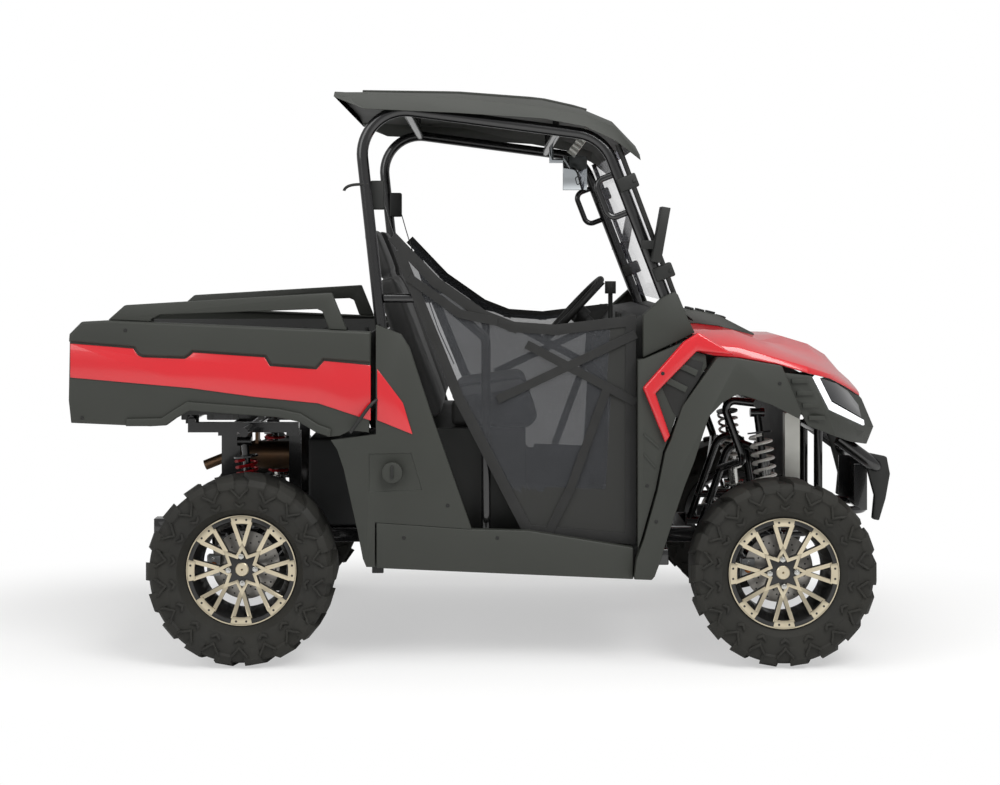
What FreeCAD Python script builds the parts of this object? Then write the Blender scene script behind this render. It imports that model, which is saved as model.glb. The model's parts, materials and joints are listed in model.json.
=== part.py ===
import FreeCAD, Part
import Sketcher
import math
import os

# Side by side utility vehicle, at its real size in millimetres.
# +X is forward, +Y is the driver's side, +Z is up. The origin lies on the ground, under the middle
# of the vehicle's box. The wheels turn about Y.

V = FreeCAD.Vector
PARTS = "parts"
TINY = 1e-4

SIZES = {
    # stance
    "wheelbase": 1852,
    "rear_axle_x": -856,
    "body_half_width": 750,
    "front_tyre_radius": 322,
    "rear_tyre_radius": 328,
    "front_tyre_width": 230,
    "rear_tyre_width": 280,
    # wheels
    "bead_radius": 178,
    "rim_width": 178,
    "rim_lip": 11,
    "rim_wall": 7,
    "spoke_depth": 26,
    "spoke_width": 14,
    "spoke_face_inset": 22,
    "star_tip_radius": 94,
    "star_notch_radius": 54,
    "pad_depth": 14,
    "axle_radius": 22,
    "axle_gap": 0.3,
    "disc_radius": 118,
    "disc_thick": 5,
    "disc_inset": 18,
    "caliper_reach": 108,
    "caliper_width": 44,
    "caliper_height": 70,
    "caliper_wall": 13,
    "running_gap": 5.5,
    # frame
    "seat_gap": 0.3,
    "rail_bottom": 340,
    "rail_height": 55,
    "rail_width": 50,
    "rail_gauge": 300,
    "rail_front_x": 760,
    "rail_rear_x": -700,
    "plate_thick": 6,
    "brace_radius": 16,
    "frame_bend": 60,
    "nose_frame_reach": 230,
    "nose_post_z": 760,
    "tower_front_x": 1040,
    "tower_rear_x": 800,
    "strut_top_x": 828,
    "strut_low_x": 908,
    "strut_low_z": 669,
    "shock_top_z": 880,
    "deck_low_z": 752,
    "deck_height": 36,
    "rear_post_x": -1007,
    "rear_post_length": 70,
    "engine_post_x": -755,
    "engine_post_length": 45,
    # roll cage
    "cage_half_width": 640,
    "tube_radius": 20,
    "cage_bend": 150,
    "rear_foot_x": -297,
    "cage_knee_x": -385,
    "cage_knee_z": 1189,
    "cage_rear_x": -466,
    "cage_rear_z": 1929,
    "cage_front_x": 385,
    "cage_front_z": 1817,
    "cowl_bend_x": 625,
    "cowl_bend_z": 1195,
    "cage_front_foot_x": 585,
    "belt_bar_z": 1120,
    "low_bar_z": 845,
    "handle_radius": 11,
    "handle_bend": 30,
    "handle_low_z": 1560,
    "handle_high_z": 1690,
    "handle_reach": 62,
    # roof
    "roof_rear_x": -542,
    "roof_length": 1054,
    "roof_bottom_z": 1710,
    "roof_height": 275,
    "roof_half_width": 685,
    "roof_wall": 9,
    "roof_post_y": 400,
    # cab
    "floor_half_width": 600,
    "floor_thick": 7,
    "floor_rear_x": -330,
    "toe_x": 560,
    "toe_top_x": 640,
    "toe_top_z": 930,
    "seat_base_front_x": 120,
    "seat_base_top_z": 800,
    "seat_base_half_width": 560,
    "wall_thick": 6,
    "seat_centre_y": 285,
    "cushion_rear_x": -150,
    "cushion_length": 330,
    "cushion_thick": 135,
    "cushion_width": 520,
    "back_height": 545,
    "back_thick": 95,
    "back_lean": 20,
    "headrest_height": 190,
    "headrest_width": 270,
    "headrest_thick": 85,
    "hip_bar_top_z": 1258,
    "hip_bar_front_x": -19,
    "dash_rear_x": 415,
    "dash_bottom_z": 900,
    "dash_height": 310,
    "dash_depth": 200,
    "lever_y": 95,
    "lever_rise": 70,
    "wheel_centre_x": 332,
    "wheel_centre_y": 310,
    "wheel_centre_z": 1190,
    "wheel_ring_radius": 160,
    "wheel_grip_radius": 14,
    "column_angle": 43,
    "column_length": 150,
    "column_radius": 24,
    "column_start": 60,
    "screen_thick": 5,
    "screen_start": 40,
    "screen_height": 560,
    "screen_half_width": 655,
    # side panels
    "panel_depth": 40,
    "panel_flange": 36,
    "panel_wall": 8,
    "panel_gap": 5,
    "stripe_thick": 4,
    "bevel": 6,
    "sill_rear_x": -394,
    "sill_bottom_z": 297,
    "sill_height": 195,
    "quarter_rear_x": -550,
    "quarter_length": 482,
    "quarter_bottom_z": 340,
    "quarter_height": 828,
    "recess_depth": 3,
    "fuel_cap_x": -339,
    "fuel_cap_z": 665,
    "fuel_cap_radius": 35,
    "fuel_cap_height": 26,
    # front panels
    "fender_rear_x": 485,
    "fender_length": 569,
    "fender_bottom_z": 301,
    "fender_height": 757,
    "fender_flare": 30,
    "trim_thick": 12,
    "louvre_thick": 9,
    "hood_rear_x": 700,
    "hood_length": 618,
    "hood_bottom_z": 870,
    "hood_height": 320,
    "hood_inset": 40,
    "lid_half_width": 170,
    "skin_thick": 6,
    "cowl_rear_x": 519,
    "cowl_length": 176,
    "cowl_bottom_z": 1057,
    "cowl_height": 224,
    "nose_rear_x": 1000,
    "nose_length": 392,
    "nose_bottom_z": 742,
    "nose_height": 260,
    "nose_wall": 8,
    "grille_half_width": 150,
    "grille_low_z": 768,
    "grille_height": 108,
    "slat_thick": 7,
    "lens_thick": 5,
    "lamp_strip_thick": 8,
    # bed
    "bed_rear_x": -1446,
    "bed_length": 1034,
    "bed_low_z": 785,
    "bed_side_height": 399,
    "bed_floor_z": 865,
    "bed_side_thick": 26,
    "cap_rise": 11,
    "tub_height": 270,
    "tub_wall": 7,
    "rail_rear_foot_x": -1312,
    "side_rail_length": 818,
    "side_rail_height": 127,
    "gate_thick": 22,
    "gate_height": 250,
    "gate_half_width": 560,
    "gate_hinge_y": 300,
    "hinge_radius": 8,
    "hinge_length": 60,
    "hinge_drop": 10,
    "tail_lamp_width": 70,
    "tail_lamp_height": 190,
    "tail_lamp_thick": 9,
    "bed_pin_x": -1110,
    "bed_pin_z": 800,
    "bed_pin_radius": 12,
    "bed_pin_half_span": 225,
    "bed_ear_y": 200,
    # nose gear
    "bumper_front_x": 1446,
    "bumper_rear_x": 1262,
    "bumper_half_width": 330,
    "bumper_top_radius": 24,
    "bumper_tube_radius": 15,
    "bumper_bend": 70,
    "bumper_top_z": 622,
    "bumper_rise": 118,
    "bumper_low_z": 450,
    "radiator_x": 1069,
    "radiator_depth": 54,
    "radiator_half_width": 330,
    "radiator_low_z": 591,
    "radiator_height": 240,
    "radiator_tank": 45,
    # running gear
    "arm_tube_radius": 13,
    "arm_spread": 95,
    "front_arm_pivot_y": 175,
    "rear_arm_pivot_y": 190,
    "upper_pivot_z": 470,
    "bush_radius": 15,
    "bush_length": 50,
    "stub_length": 36.7,
    "knuckle_half_height": 85,
    "knuckle_boss_radius": 18,
    "knuckle_boss_height": 14,
    "carrier_depth": 60,
    "steer_arm_length": 70,
    "steer_arm_inset": 35,
    "steer_arm_rise": 60,
    "rod_gap": 5,
    "rod_radius": 9,
    "rack_length": 220,
    "shock_radius": 22,
    "shock_eye_radius": 16,
    "shock_lean": 40,
    "shock_top_y": 400,
    "shock_foot_y": 450,
    "rear_shock_x": -886,
    "rear_shock_y": 410,
    "spring_radius": 38,
    "spring_wire_radius": 5.5,
    "engine_front_x": -340,
    "engine_length": 340,
    "engine_width": 380,
    "engine_height": 330,
    "diff_radius": 65,
    "shaft_radius": 15,
    "boot_radius": 35,
    "muffler_radius": 52,
    "muffler_front_x": -745,
    "muffler_length": 190,
    "muffler_y": -60,
    "muffler_z": 648,
    "tail_pipe_radius": 19,
    "tail_pipe_bend": 60,
    "tail_pipe_reach": 150,
    "tail_pipe_drop": 40,
    "receiver_outer": 63.5,
    "receiver_bore": 51,
    "receiver_pin_radius": 8,
    "receiver_pin_inset": 40,
    "receiver_mouth_x": -1286,
    "receiver_length": 120,
    # nets and mirrors
    "net_rear_x": -330,
    "net_length": 809,
    "net_low_z": 430,
    "net_height": 1028,
    "net_band": 36,
    "net_thick": 3,
    "mirror_x": 545,
    "mirror_z": 1385,
    "mirror_width": 85,
    "mirror_height": 190,
    "mirror_thick": 30,
    "inner_mirror_x": 322,
    "inner_mirror_z": 1720,
    "inner_mirror_width": 92,
    "inner_mirror_height": 130,
    "inner_mirror_thick": 20,
}


class Length:
    """A length of the model: its value, and the formula that binds it to the sheet."""

    def __init__(self, value, formula):
        self.value = value
        self.formula = formula

    @staticmethod
    def of(other):
        return other if isinstance(other, Length) else Length(float(other), f"{other:g}")

    def __add__(self, other):
        other = Length.of(other)
        return Length(self.value + other.value, f"({self.formula} + {other.formula})")

    def __sub__(self, other):
        other = Length.of(other)
        return Length(self.value - other.value, f"({self.formula} - {other.formula})")

    def __mul__(self, share):
        return Length(self.value * share, f"({self.formula}) * ({share:g})")

    def __truediv__(self, share):
        return Length(self.value / share, f"({self.formula}) / {share:g}")

    def __neg__(self):
        return Length(-self.value, f"(0 - {self.formula})")

    __radd__ = __add__
    __rmul__ = __mul__

    def __float__(self):
        return float(self.value)


class Sizes:
    """The driving dimensions, kept in the document's sheet."""

    def __init__(self, document, table):
        self.sheet = document.addObject("Spreadsheet::Sheet", "Sizes")
        for row, (alias, value) in enumerate(table.items(), 1):
            self.sheet.set(f"A{row}", alias)
            self.sheet.set(f"B{row}", str(value))
            self.sheet.setAlias(f"B{row}", alias)
        document.recompute()

    def __getattr__(self, alias):
        return Length(float(self.sheet.get(alias)), f"Sizes.{alias}")


class Plain:
    """The same dimensions as plain numbers, read from the sheet."""

    def __getattr__(self, alias):
        return float(size.sheet.get(alias))


doc = FreeCAD.newDocument("utility_vehicle")
size = Sizes(doc, SIZES)
mm = Plain()
ZERO = Length(0, "0")
ORIGIN = (ZERO, ZERO, ZERO)
nodes = {}


# Document helpers

def bind(obj, place):
    """Puts an object at a place whose three lengths stay bound to the sheet."""
    for axis, length in zip("xyz", place):
        obj.setExpression(f"Placement.Base.{axis}", Length.of(length).formula)


def box(name, low, extent):
    obj = doc.addObject("Part::Box", name)
    for side, length in zip(("Length", "Width", "Height"), extent):
        obj.setExpression(side, Length.of(length).formula)
    bind(obj, low)
    return obj


TURNS = {
    "X": FreeCAD.Rotation(V(0, 1, 0), 90),
    "Y": FreeCAD.Rotation(V(1, 0, 0), -90),
    "Z": FreeCAD.Rotation(),
}


def cylinder(name, base, along, radius, length):
    obj = doc.addObject("Part::Cylinder", name)
    obj.setExpression("Radius", Length.of(radius).formula)
    obj.setExpression("Height", Length.of(length).formula)
    obj.Placement = FreeCAD.Placement(V(), TURNS[along])
    bind(obj, base)
    return obj


def body_plane(body, role):
    return next(item for item in body.Origin.OriginFeatures if item.Role == role)


def closed_sketch(body, name, plane, outline):
    """A polygon sketch; each corner's two lengths are bound to the sheet."""
    sketch = body.newObject("Sketcher::SketchObject", name)
    sketch.AttachmentSupport = [(body_plane(body, plane), "")]
    sketch.MapMode = "FlatFace"
    corners = [(Length.of(a), Length.of(b)) for a, b in outline]
    count = len(corners)
    points = [V(a.value, b.value, 0) for a, b in corners]
    lines = [Part.LineSegment(points[i], points[(i + 1) % count]) for i in range(count)]
    sketch.addGeometry(lines, False)
    joins = [Sketcher.Constraint("Coincident", i, 2, (i + 1) % count, 1) for i in range(count)]
    sketch.addConstraint(joins)
    for i, corner in enumerate(corners):
        for kind, length in zip(("DistanceX", "DistanceY"), corner):
            index = sketch.addConstraint(Sketcher.Constraint(kind, -1, 1, i, 1, length.value))
            sketch.setExpression(f"Constraints[{index}]", length.formula)
    return sketch


def pad(name, plane, outline, place, thickness):
    """A plate of one outline. On XZ_Plane it grows from its place towards -Y."""
    body = doc.addObject("PartDesign::Body", name)
    sketch = closed_sketch(body, f"{name}Outline", plane, outline)
    feature = body.newObject("PartDesign::Pad", f"{name}Pad")
    feature.Profile = sketch
    feature.setExpression("Length", Length.of(thickness).formula)
    bind(body, place)
    return body


def spun(name, outline, place=ORIGIN):
    """A body of revolution about its own Y axis; the outline is in radius and axial place."""
    body = doc.addObject("PartDesign::Body", name)
    sketch = closed_sketch(body, f"{name}Profile", "XY_Plane", outline)
    feature = body.newObject("PartDesign::Revolution", f"{name}Revolution")
    feature.Profile = sketch
    feature.ReferenceAxis = (body_plane(body, "Y_Axis"), [""])
    feature.Angle = 360
    bind(body, place)
    return body


def shaped(name, shape):
    obj = doc.addObject("Part::Feature", name)
    obj.Shape = shape
    return obj


def fuse(name, *members):
    obj = doc.addObject("Part::MultiFuse", name)
    obj.Shapes = list(members)
    return obj


def cut(name, base, tool):
    obj = doc.addObject("Part::Cut", name)
    obj.Base = base
    obj.Tool = tool
    return obj


def group(name, *members):
    obj = doc.addObject("Part::Compound", name)
    obj.Links = list(members)
    return obj


def mirrored(name, source):
    obj = doc.addObject("Part::Mirroring", name)
    obj.Source = source
    obj.Normal = V(0, 1, 0)
    obj.Base = V()
    return obj


def pair(name, right):
    """The right-hand piece and its mirror image."""
    return group(name, right, mirrored(f"{name}Left", right))


def node(label, obj):
    obj.Label = label
    nodes[label] = obj
    return obj


# Shape helpers for forms that no single feature makes

def point(x, y, z):
    return V(float(x), float(y), float(z))


def facets(ring):
    """One face where the ring is flat, or else a fan of triangles."""
    corners = [p for n, p in enumerate(ring) if (p - ring[n - 1]).Length > TINY]
    if len(corners) < 3:
        return []
    normal = V()
    for first, second in zip(corners[1:], corners[2:]):
        normal += (first - corners[0]).cross(second - corners[0])
    reach = max(abs((p - corners[0]).dot(normal)) for p in corners) / max(normal.Length, TINY)
    fan = [[corners[0], a, b] for a, b in zip(corners[1:], corners[2:])]
    loops = [corners] if reach < TINY else fan
    return [Part.Face(Part.makePolygon(loop + loop[:1])) for loop in loops]


def polyhedron(sections):
    """A closed solid through polygons of equally many corners; bent sides are split in two."""
    count = len(sections[0])
    faces = facets(sections[0]) + facets(sections[-1])
    for first, second in zip(sections, sections[1:]):
        for i in range(count):
            j = (i + 1) % count
            faces += facets([first[i], first[j], second[j], second[i]])
    shell = Part.makeShell(faces)
    shell.sewShape()
    solid = Part.makeSolid(shell)
    if solid.Volume < 0:
        solid.reverse()
    return solid


def prism(loop, reach):
    """A flat loop of points drawn out by a vector."""
    return Part.Face(Part.makePolygon(loop + loop[:1])).extrude(reach)


def slab(x, y, z):
    """A block from its three pairs of limits."""
    return Part.makeBox(x[1] - x[0], y[1] - y[0], z[1] - z[0], V(x[0], y[0], z[0]))


def bar(a, b, r):
    return Part.makeCylinder(r, (b - a).Length, a, b - a)


def bent_path(points, bend):
    """Straight runs joined by tangent arcs of the given radius, as one wire."""
    edges = []
    start = points[0]
    for before, corner, after in zip(points, points[1:], points[2:]):
        back = (before - corner).normalize()
        ahead = (after - corner).normalize()
        half = back.getAngle(ahead) / 2
        reach = bend / math.tan(half)
        middle = (back + ahead).normalize()
        centre = corner + middle * (bend / math.sin(half))
        entry = corner + back * reach
        leave = corner + ahead * reach
        edges.append(Part.LineSegment(start, entry).toShape())
        edges.append(Part.Arc(entry, centre - middle * bend, leave).toShape())
        start = leave
    edges.append(Part.LineSegment(start, points[-1]).toShape())
    return Part.Wire(edges)


def tube(points, radius, bend):
    """A round bar along straight runs and arcs."""
    if len(points) == 2:
        return bar(points[0], points[1], radius)
    ring = Part.Wire([Part.Circle(points[0], points[1] - points[0], radius).toShape()])
    return bent_path(points, bend).makePipeShell([ring], True, False)


def joined(shapes):
    return shapes[0].fuse(shapes[1:]).removeSplitter() if len(shapes) > 1 else shapes[0]


def mirror_y(shape):
    return shape.mirror(V(), V(0, 1, 0))


def both_sides(*shapes):
    return Part.makeCompound(list(shapes) + [mirror_y(shape) for shape in shapes])


def placed(shares, start, extent):
    """An outline in shares of a box: start is the box's low corner, extent its two lengths."""
    return [(start[0] + extent[0] * a, start[1] + extent[1] * b) for a, b in shares]


def between(stations, place):
    """The value at a place among pairs of place and value."""
    for (a, first), (b, second) in zip(stations, stations[1:]):
        if place <= b:
            return first + (second - first) * (place - a) / (b - a)
    return stations[-1][1]


MITRE_SHARE = 0.35


def inset(outline, distance):
    """The same outline moved inwards by a distance, with mitred corners."""
    area = sum(a[0] * b[1] - b[0] * a[1] for a, b in zip(outline, outline[1:] + outline[:1]))
    turn = 1 if area > 0 else -1
    result = []
    for n, (x, z) in enumerate(outline):
        before, after = outline[n - 1], outline[(n + 1) % len(outline)]
        first = V(x - before[0], 0, z - before[1]).normalize()
        second = V(after[0] - x, 0, after[1] - z).normalize()
        normals = [V(-d.z, 0, d.x) * turn for d in (first, second)]
        middle = (normals[0] + normals[1]).normalize()
        reach = distance / max(middle.dot(normals[0]), MITRE_SHARE)
        result.append((x + middle.x * reach, z + middle.z * reach))
    return result


def upright(outline, y):
    """A side outline in XZ as points at one Y."""
    return [V(x, y, z) for x, z in outline]


def tray(outline, outer, depth, wall):
    """A right-hand moulding: its outer wall at -outer, and a flange around it that runs inwards."""
    shell = prism(upright(outline, -outer), V(0, depth, 0))
    hollow = prism(upright(inset(outline, wall), wall - outer), V(0, depth * 2, 0))
    return shell.cut(hollow)


def moulding(outline, inner, outer, bevel):
    """A right-hand raised panel from -inner to -outer, with a bevelled outer edge."""
    levels = ((outline, inner), (outline, outer - bevel), (inset(outline, bevel), outer))
    return polyhedron([upright(loop, -y) for loop, y in levels])


# Derived places

frame_axis_z = size.rail_bottom + size.rail_height / 2
rail_top = size.rail_bottom + size.rail_height
floor_low = rail_top + size.seat_gap
floor_top = floor_low + size.floor_thick
front_axle_x = size.rear_axle_x + size.wheelbase
cage_outer = size.cage_half_width + size.tube_radius + size.seat_gap
cage_inner = size.cage_half_width - size.tube_radius - size.seat_gap
panel_outer = size.cage_half_width + size.tube_radius + size.panel_depth
fender_outer = panel_outer + size.fender_flare
pillar_outer = fender_outer - size.trim_thick
hood_half = fender_outer - size.hood_inset
disc_end = size.disc_inset + size.disc_thick + size.axle_gap
front_face = size.body_half_width - size.front_tyre_width / 2 - disc_end
rear_face = size.body_half_width - size.rear_tyre_width / 2 - disc_end
kingpin_y = front_face - size.stub_length
frame_inset = size.bush_radius + size.seat_gap + size.brace_radius
front_frame_y = size.front_arm_pivot_y - frame_inset
rear_frame_y = size.rear_arm_pivot_y - frame_inset
rack_x = front_axle_x - size.steer_arm_length
rack_z = (size.front_tyre_radius + size.steer_arm_rise + size.plate_thick + size.rod_gap
          + size.rod_radius)
rod_half = kingpin_y - size.steer_arm_inset
deck_axis_z = size.deck_low_z + size.deck_height / 2
rear_end_x = size.receiver_mouth_x + size.receiver_length + size.seat_gap + size.brace_radius
front_x = front_axle_x.value


# Wheels

# Radius shares of the tyre's height, and axial shares of its half width
TYRE_OUTER_SHARES = [(0.25, 0.9), (0.55, 0.965), (0.8, 0.91), (0.885, 0.78)]
TYRE_INNER_SHARES = [(0.8, 0.7), (0.5, 0.87), (0.2, 0.78)]
TYRE_FOOT_SHARE = 0.06
# A lug's stations: foot across and up, crest across and up, turn along the tread in pitches
LONG_LUG_SHARES = [(0.04, 0.84, 0.04, 1, 0.25), (0.62, 0.82, 0.62, 0.99, 0.02), (0.84, 0.66, 0.9, 0.93, -0.06),
                   (0.86, 0.55, 1, 0.8, -0.06), (0.86, 0.44, 0.96, 0.5, -0.06)]
SHORT_LUG_SHARES = [(0.3, 0.84, 0.3, 0.99, 0.12), (0.72, 0.82, 0.72, 0.98, 0), (0.84, 0.68, 0.93, 0.88, -0.05),
                    (0.87, 0.6, 0.985, 0.72, -0.05)]
LUG_HALF_SHARE = 0.27
LUGS = 18
SPOKES = 8


def tyre_outline(radius, width):
    rise = radius - size.bead_radius
    half = width / 2
    bead = size.rim_width / 2 - size.rim_wall - size.seat_gap
    lip = size.bead_radius + size.rim_lip + size.seat_gap
    loop = [(size.bead_radius, bead), (lip, bead)]
    loop += [(size.bead_radius + rise * a, half * b) for a, b in TYRE_OUTER_SHARES]
    loop += [(r, -y) for r, y in reversed(loop)]
    foot = bead - size.rim_wall * 2
    hollow = [(size.bead_radius + rise * a, half * b) for a, b in TYRE_INNER_SHARES]
    hollow += [(size.bead_radius + rise * TYRE_FOOT_SHARE, foot), (size.bead_radius, foot)]
    return loop + [(r, -y) for r, y in reversed(hollow)] + hollow


def lug_shapes(radius, width):
    """Angled lugs, long and short in turn, that wrap over both shoulders."""
    rise = radius - mm.bead_radius
    half = width / 2
    pitch = 2 * math.pi / LUGS
    shapes = []
    for side in (1, -1):
        for n in range(LUGS):
            middle = pitch * (n + (0.5 if side > 0 else 0))
            sections = []
            for foot, low, crest, high, skew in (LONG_LUG_SHARES, SHORT_LUG_SHARES)[n % 2]:
                section = []
                for edge, wide, level in ((-1, foot, low), (1, foot, low), (1, crest, high), (-1, crest, high)):
                    angle = middle + pitch * (edge * LUG_HALF_SHARE + skew)
                    r = mm.bead_radius + rise * level
                    section.append(V(r * math.cos(angle), side * half * wide, r * math.sin(angle)))
                sections.append(section)
            shapes.append(polyhedron(sections))
    return Part.makeCompound(shapes)


def barrel_outline():
    """Rim section; its outer face looks towards -Y."""
    half = size.rim_width / 2
    lip = size.bead_radius + size.rim_lip
    seat = size.bead_radius - size.seat_gap
    drop = seat - size.rim_lip * 2
    wall = size.rim_wall
    return [(lip, -half), (lip, wall - half), (seat, wall - half), (seat, half * -0.6), (drop, half * -0.4),
            (drop, half * 0.5), (seat, half * 0.7), (seat, half - wall), (lip, half - wall), (lip, half),
            (seat - wall, half), (drop - wall, half * 0.45), (drop - wall, half * -0.45), (seat - wall, -half)]


def hub_outline():
    """Hub and brake disc in one section."""
    face = size.spoke_face_inset - size.rim_width / 2
    back = face + size.spoke_depth
    wall = size.rim_wall
    bore = size.axle_radius * 0.4
    neck = size.axle_radius * 2
    end = size.disc_inset + size.disc_thick
    return [(bore, face), (size.star_notch_radius * 0.7, face), (size.star_notch_radius, face + wall),
            (size.star_notch_radius, back), (neck, back + wall), (neck, size.disc_inset),
            (size.disc_radius, size.disc_inset), (size.disc_radius, end), (size.axle_radius, end),
            (bore, size.disc_inset)]


def on_wheel(r, angle, y):
    return V(r * math.cos(angle), y, r * math.sin(angle))


def spoke_shapes():
    """A star with eight tips, two arms from each tip out to the barrel, and a pad across each pair."""
    half = mm.rim_width / 2
    front = mm.spoke_face_inset - half
    back = front + mm.spoke_depth
    step = 2 * math.pi / SPOKES
    star = []
    for n in range(SPOKES):
        star += [on_wheel(mm.star_tip_radius, step * n, front), on_wheel(mm.star_notch_radius, step * (n + 0.5), front)]
    shapes = [prism(star, V(0, back - front, 0))]
    lead = mm.rim_lip / 2
    foot_r = mm.star_tip_radius - mm.spoke_width
    tip_r = mm.bead_radius - mm.rim_wall * 0.6
    pad_r = mm.bead_radius - mm.rim_lip * 1.6
    spread = step * 0.235
    for n in range(SPOKES):
        for lean in (-1, 1):
            foot = on_wheel(foot_r, step * (n + lean * 0.05), 0)
            tip = on_wheel(tip_r, step * n + lean * spread, 0)
            side = (tip - foot).cross(V(0, 1, 0)).normalize() * (mm.spoke_width / 2)
            sections = []
            for place, near, far in ((foot, front, back), (tip, lead - half, lead - half + mm.spoke_depth * 0.85)):
                sections.append([place + V(0, near, 0) - side, place + V(0, near, 0) + side,
                                 place + V(0, far, 0) + side, place + V(0, far, 0) - side])
            shapes.append(polyhedron(sections))
        sections = []
        for share in (-1, -0.33, 0.33, 1):
            angle = step * n + spread * share
            sections.append([on_wheel(pad_r, angle, lead * 0.4 - half), on_wheel(tip_r, angle, lead * 0.4 - half),
                             on_wheel(tip_r, angle, lead + mm.pad_depth - half),
                             on_wheel(pad_r, angle, lead + mm.pad_depth - half)])
        shapes.append(polyhedron(sections))
    return joined(shapes)


def build_wheels():
    spokes = spoke_shapes()
    ends = (("front", size.front_tyre_radius, size.front_tyre_width, front_axle_x),
            ("rear", size.rear_tyre_radius, size.rear_tyre_width, size.rear_axle_x))
    for end, radius, width, axle in ends:
        lugs = lug_shapes(radius.value, width.value)
        for hand, side in (("right", 1), ("left", -1)):
            name = f"{end.title()}{hand.title()}"
            centre = (axle, (width / 2 - size.body_half_width) * side, radius)
            carcass = spun(f"Carcass{name}", tyre_outline(radius, width))
            tread = shaped(f"Lugs{name}", lugs if side > 0 else mirror_y(lugs))
            tyre = fuse(f"Tyre{name}", carcass, tread)
            barrel = spun(f"Barrel{name}", [(r, y * side) for r, y in barrel_outline()])
            hub = spun(f"Hub{name}", [(r, y * side) for r, y in hub_outline()])
            star = shaped(f"Star{name}", spokes if side > 0 else mirror_y(spokes))
            rim = fuse(f"Rim{name}", barrel, hub, star)
            for kind, obj in (("tyre", tyre), ("rim", rim)):
                bind(obj, centre)
                node(f"{kind}_{end}_{hand}", obj)


# Frame

def build_main_frame():
    half = size.rail_gauge / 2
    width = size.rail_width
    reach = panel_outer - size.panel_flange - size.seat_gap
    middle_x = (size.rear_foot_x + size.cage_front_foot_x) / 2
    bars = []
    for hand, low_y in (("Right", -half - width), ("Left", half)):
        bars.append(box(f"Rail{hand}", (size.rail_rear_x, low_y, size.rail_bottom),
                        (size.rail_front_x - size.rail_rear_x, width, size.rail_height)))
    spans = ((size.rear_foot_x, reach), (middle_x, reach), (size.cage_front_foot_x, reach),
             (size.rail_rear_x + width, half), (size.rail_front_x - width, half))
    for n, (x, span) in enumerate(spans):
        bars.append(box(f"CrossRail{n}", (x - width / 2, -span, size.rail_bottom), (width, span * 2, size.rail_height)))
    node("main_frame", fuse("MainFrame", *bars))


THIN_SHARE = 0.88


def build_front_frame():
    """Side frames ahead of the cab with a shock tower, tied by cross tubes around the steering rack."""
    r = mm.brace_radius
    thin = r * THIN_SHARE
    y = front_frame_y.value
    low = frame_axis_z.value
    start = mm.rail_front_x + mm.seat_gap
    front = front_x + mm.nose_frame_reach
    tower = front_x - mm.shock_lean
    top = mm.shock_top_z
    crest = top - mm.frame_bend * 0.12
    pivot = mm.upper_pivot_z
    foot = V(start + r, y, low)
    peak = V(tower, y, top)
    stand_x = mm.radiator_x + mm.radiator_depth / 2
    brace_z = (pivot + top) * 0.45
    brace_x = between([(low, foot.x), (top, peak.x)], brace_z)
    outer = mm.shock_top_y
    flange = (mm.rail_gauge / 2 - mm.rail_width / 2, mm.rail_gauge / 2 + mm.rail_width / 2)
    side = [
        slab((start, start + mm.plate_thick), flange, (mm.rail_bottom, rail_top.value)),
        tube([V(start, y, low), V(front, y, low), V(front, y, mm.nose_post_z)], r, mm.frame_bend),
        tube([foot, peak, V(mm.tower_front_x, y, low)], thin, mm.frame_bend),
        bar(V(mm.tower_rear_x, y, pivot), V(mm.tower_front_x + mm.arm_spread, y, pivot), thin),
        bar(V(stand_x, y, pivot), V(stand_x, y, mm.radiator_low_z - mm.seat_gap), thin),
        tube([V(tower, outer, crest), V(mm.strut_top_x, outer, top + r / 2), V(mm.strut_low_x, outer, mm.strut_low_z),
              V(brace_x, y, brace_z)], thin, r * 2)]
    span = mm.shock_top_y + r
    across = [bar(V(tower, -span, crest), V(tower, span, crest), r)]
    for z in (low, mm.nose_post_z - r):
        across.append(bar(V(front, -y, z), V(front, y, z), thin))
    half = mm.rack_length / 2
    middle = V(rack_x.value, -half, rack_z.value)
    across.append(Part.makeCylinder(mm.rod_radius * 2.2, half * 2, middle, V(0, 1, 0)))
    bore = Part.makeCylinder(mm.rod_radius + mm.seat_gap, half * 4, middle - V(0, half, 0), V(0, 1, 0))
    node("front_frame", shaped("FrontFrame", joined(side + [mirror_y(s) for s in side] + across).cut(bore)))


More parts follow.
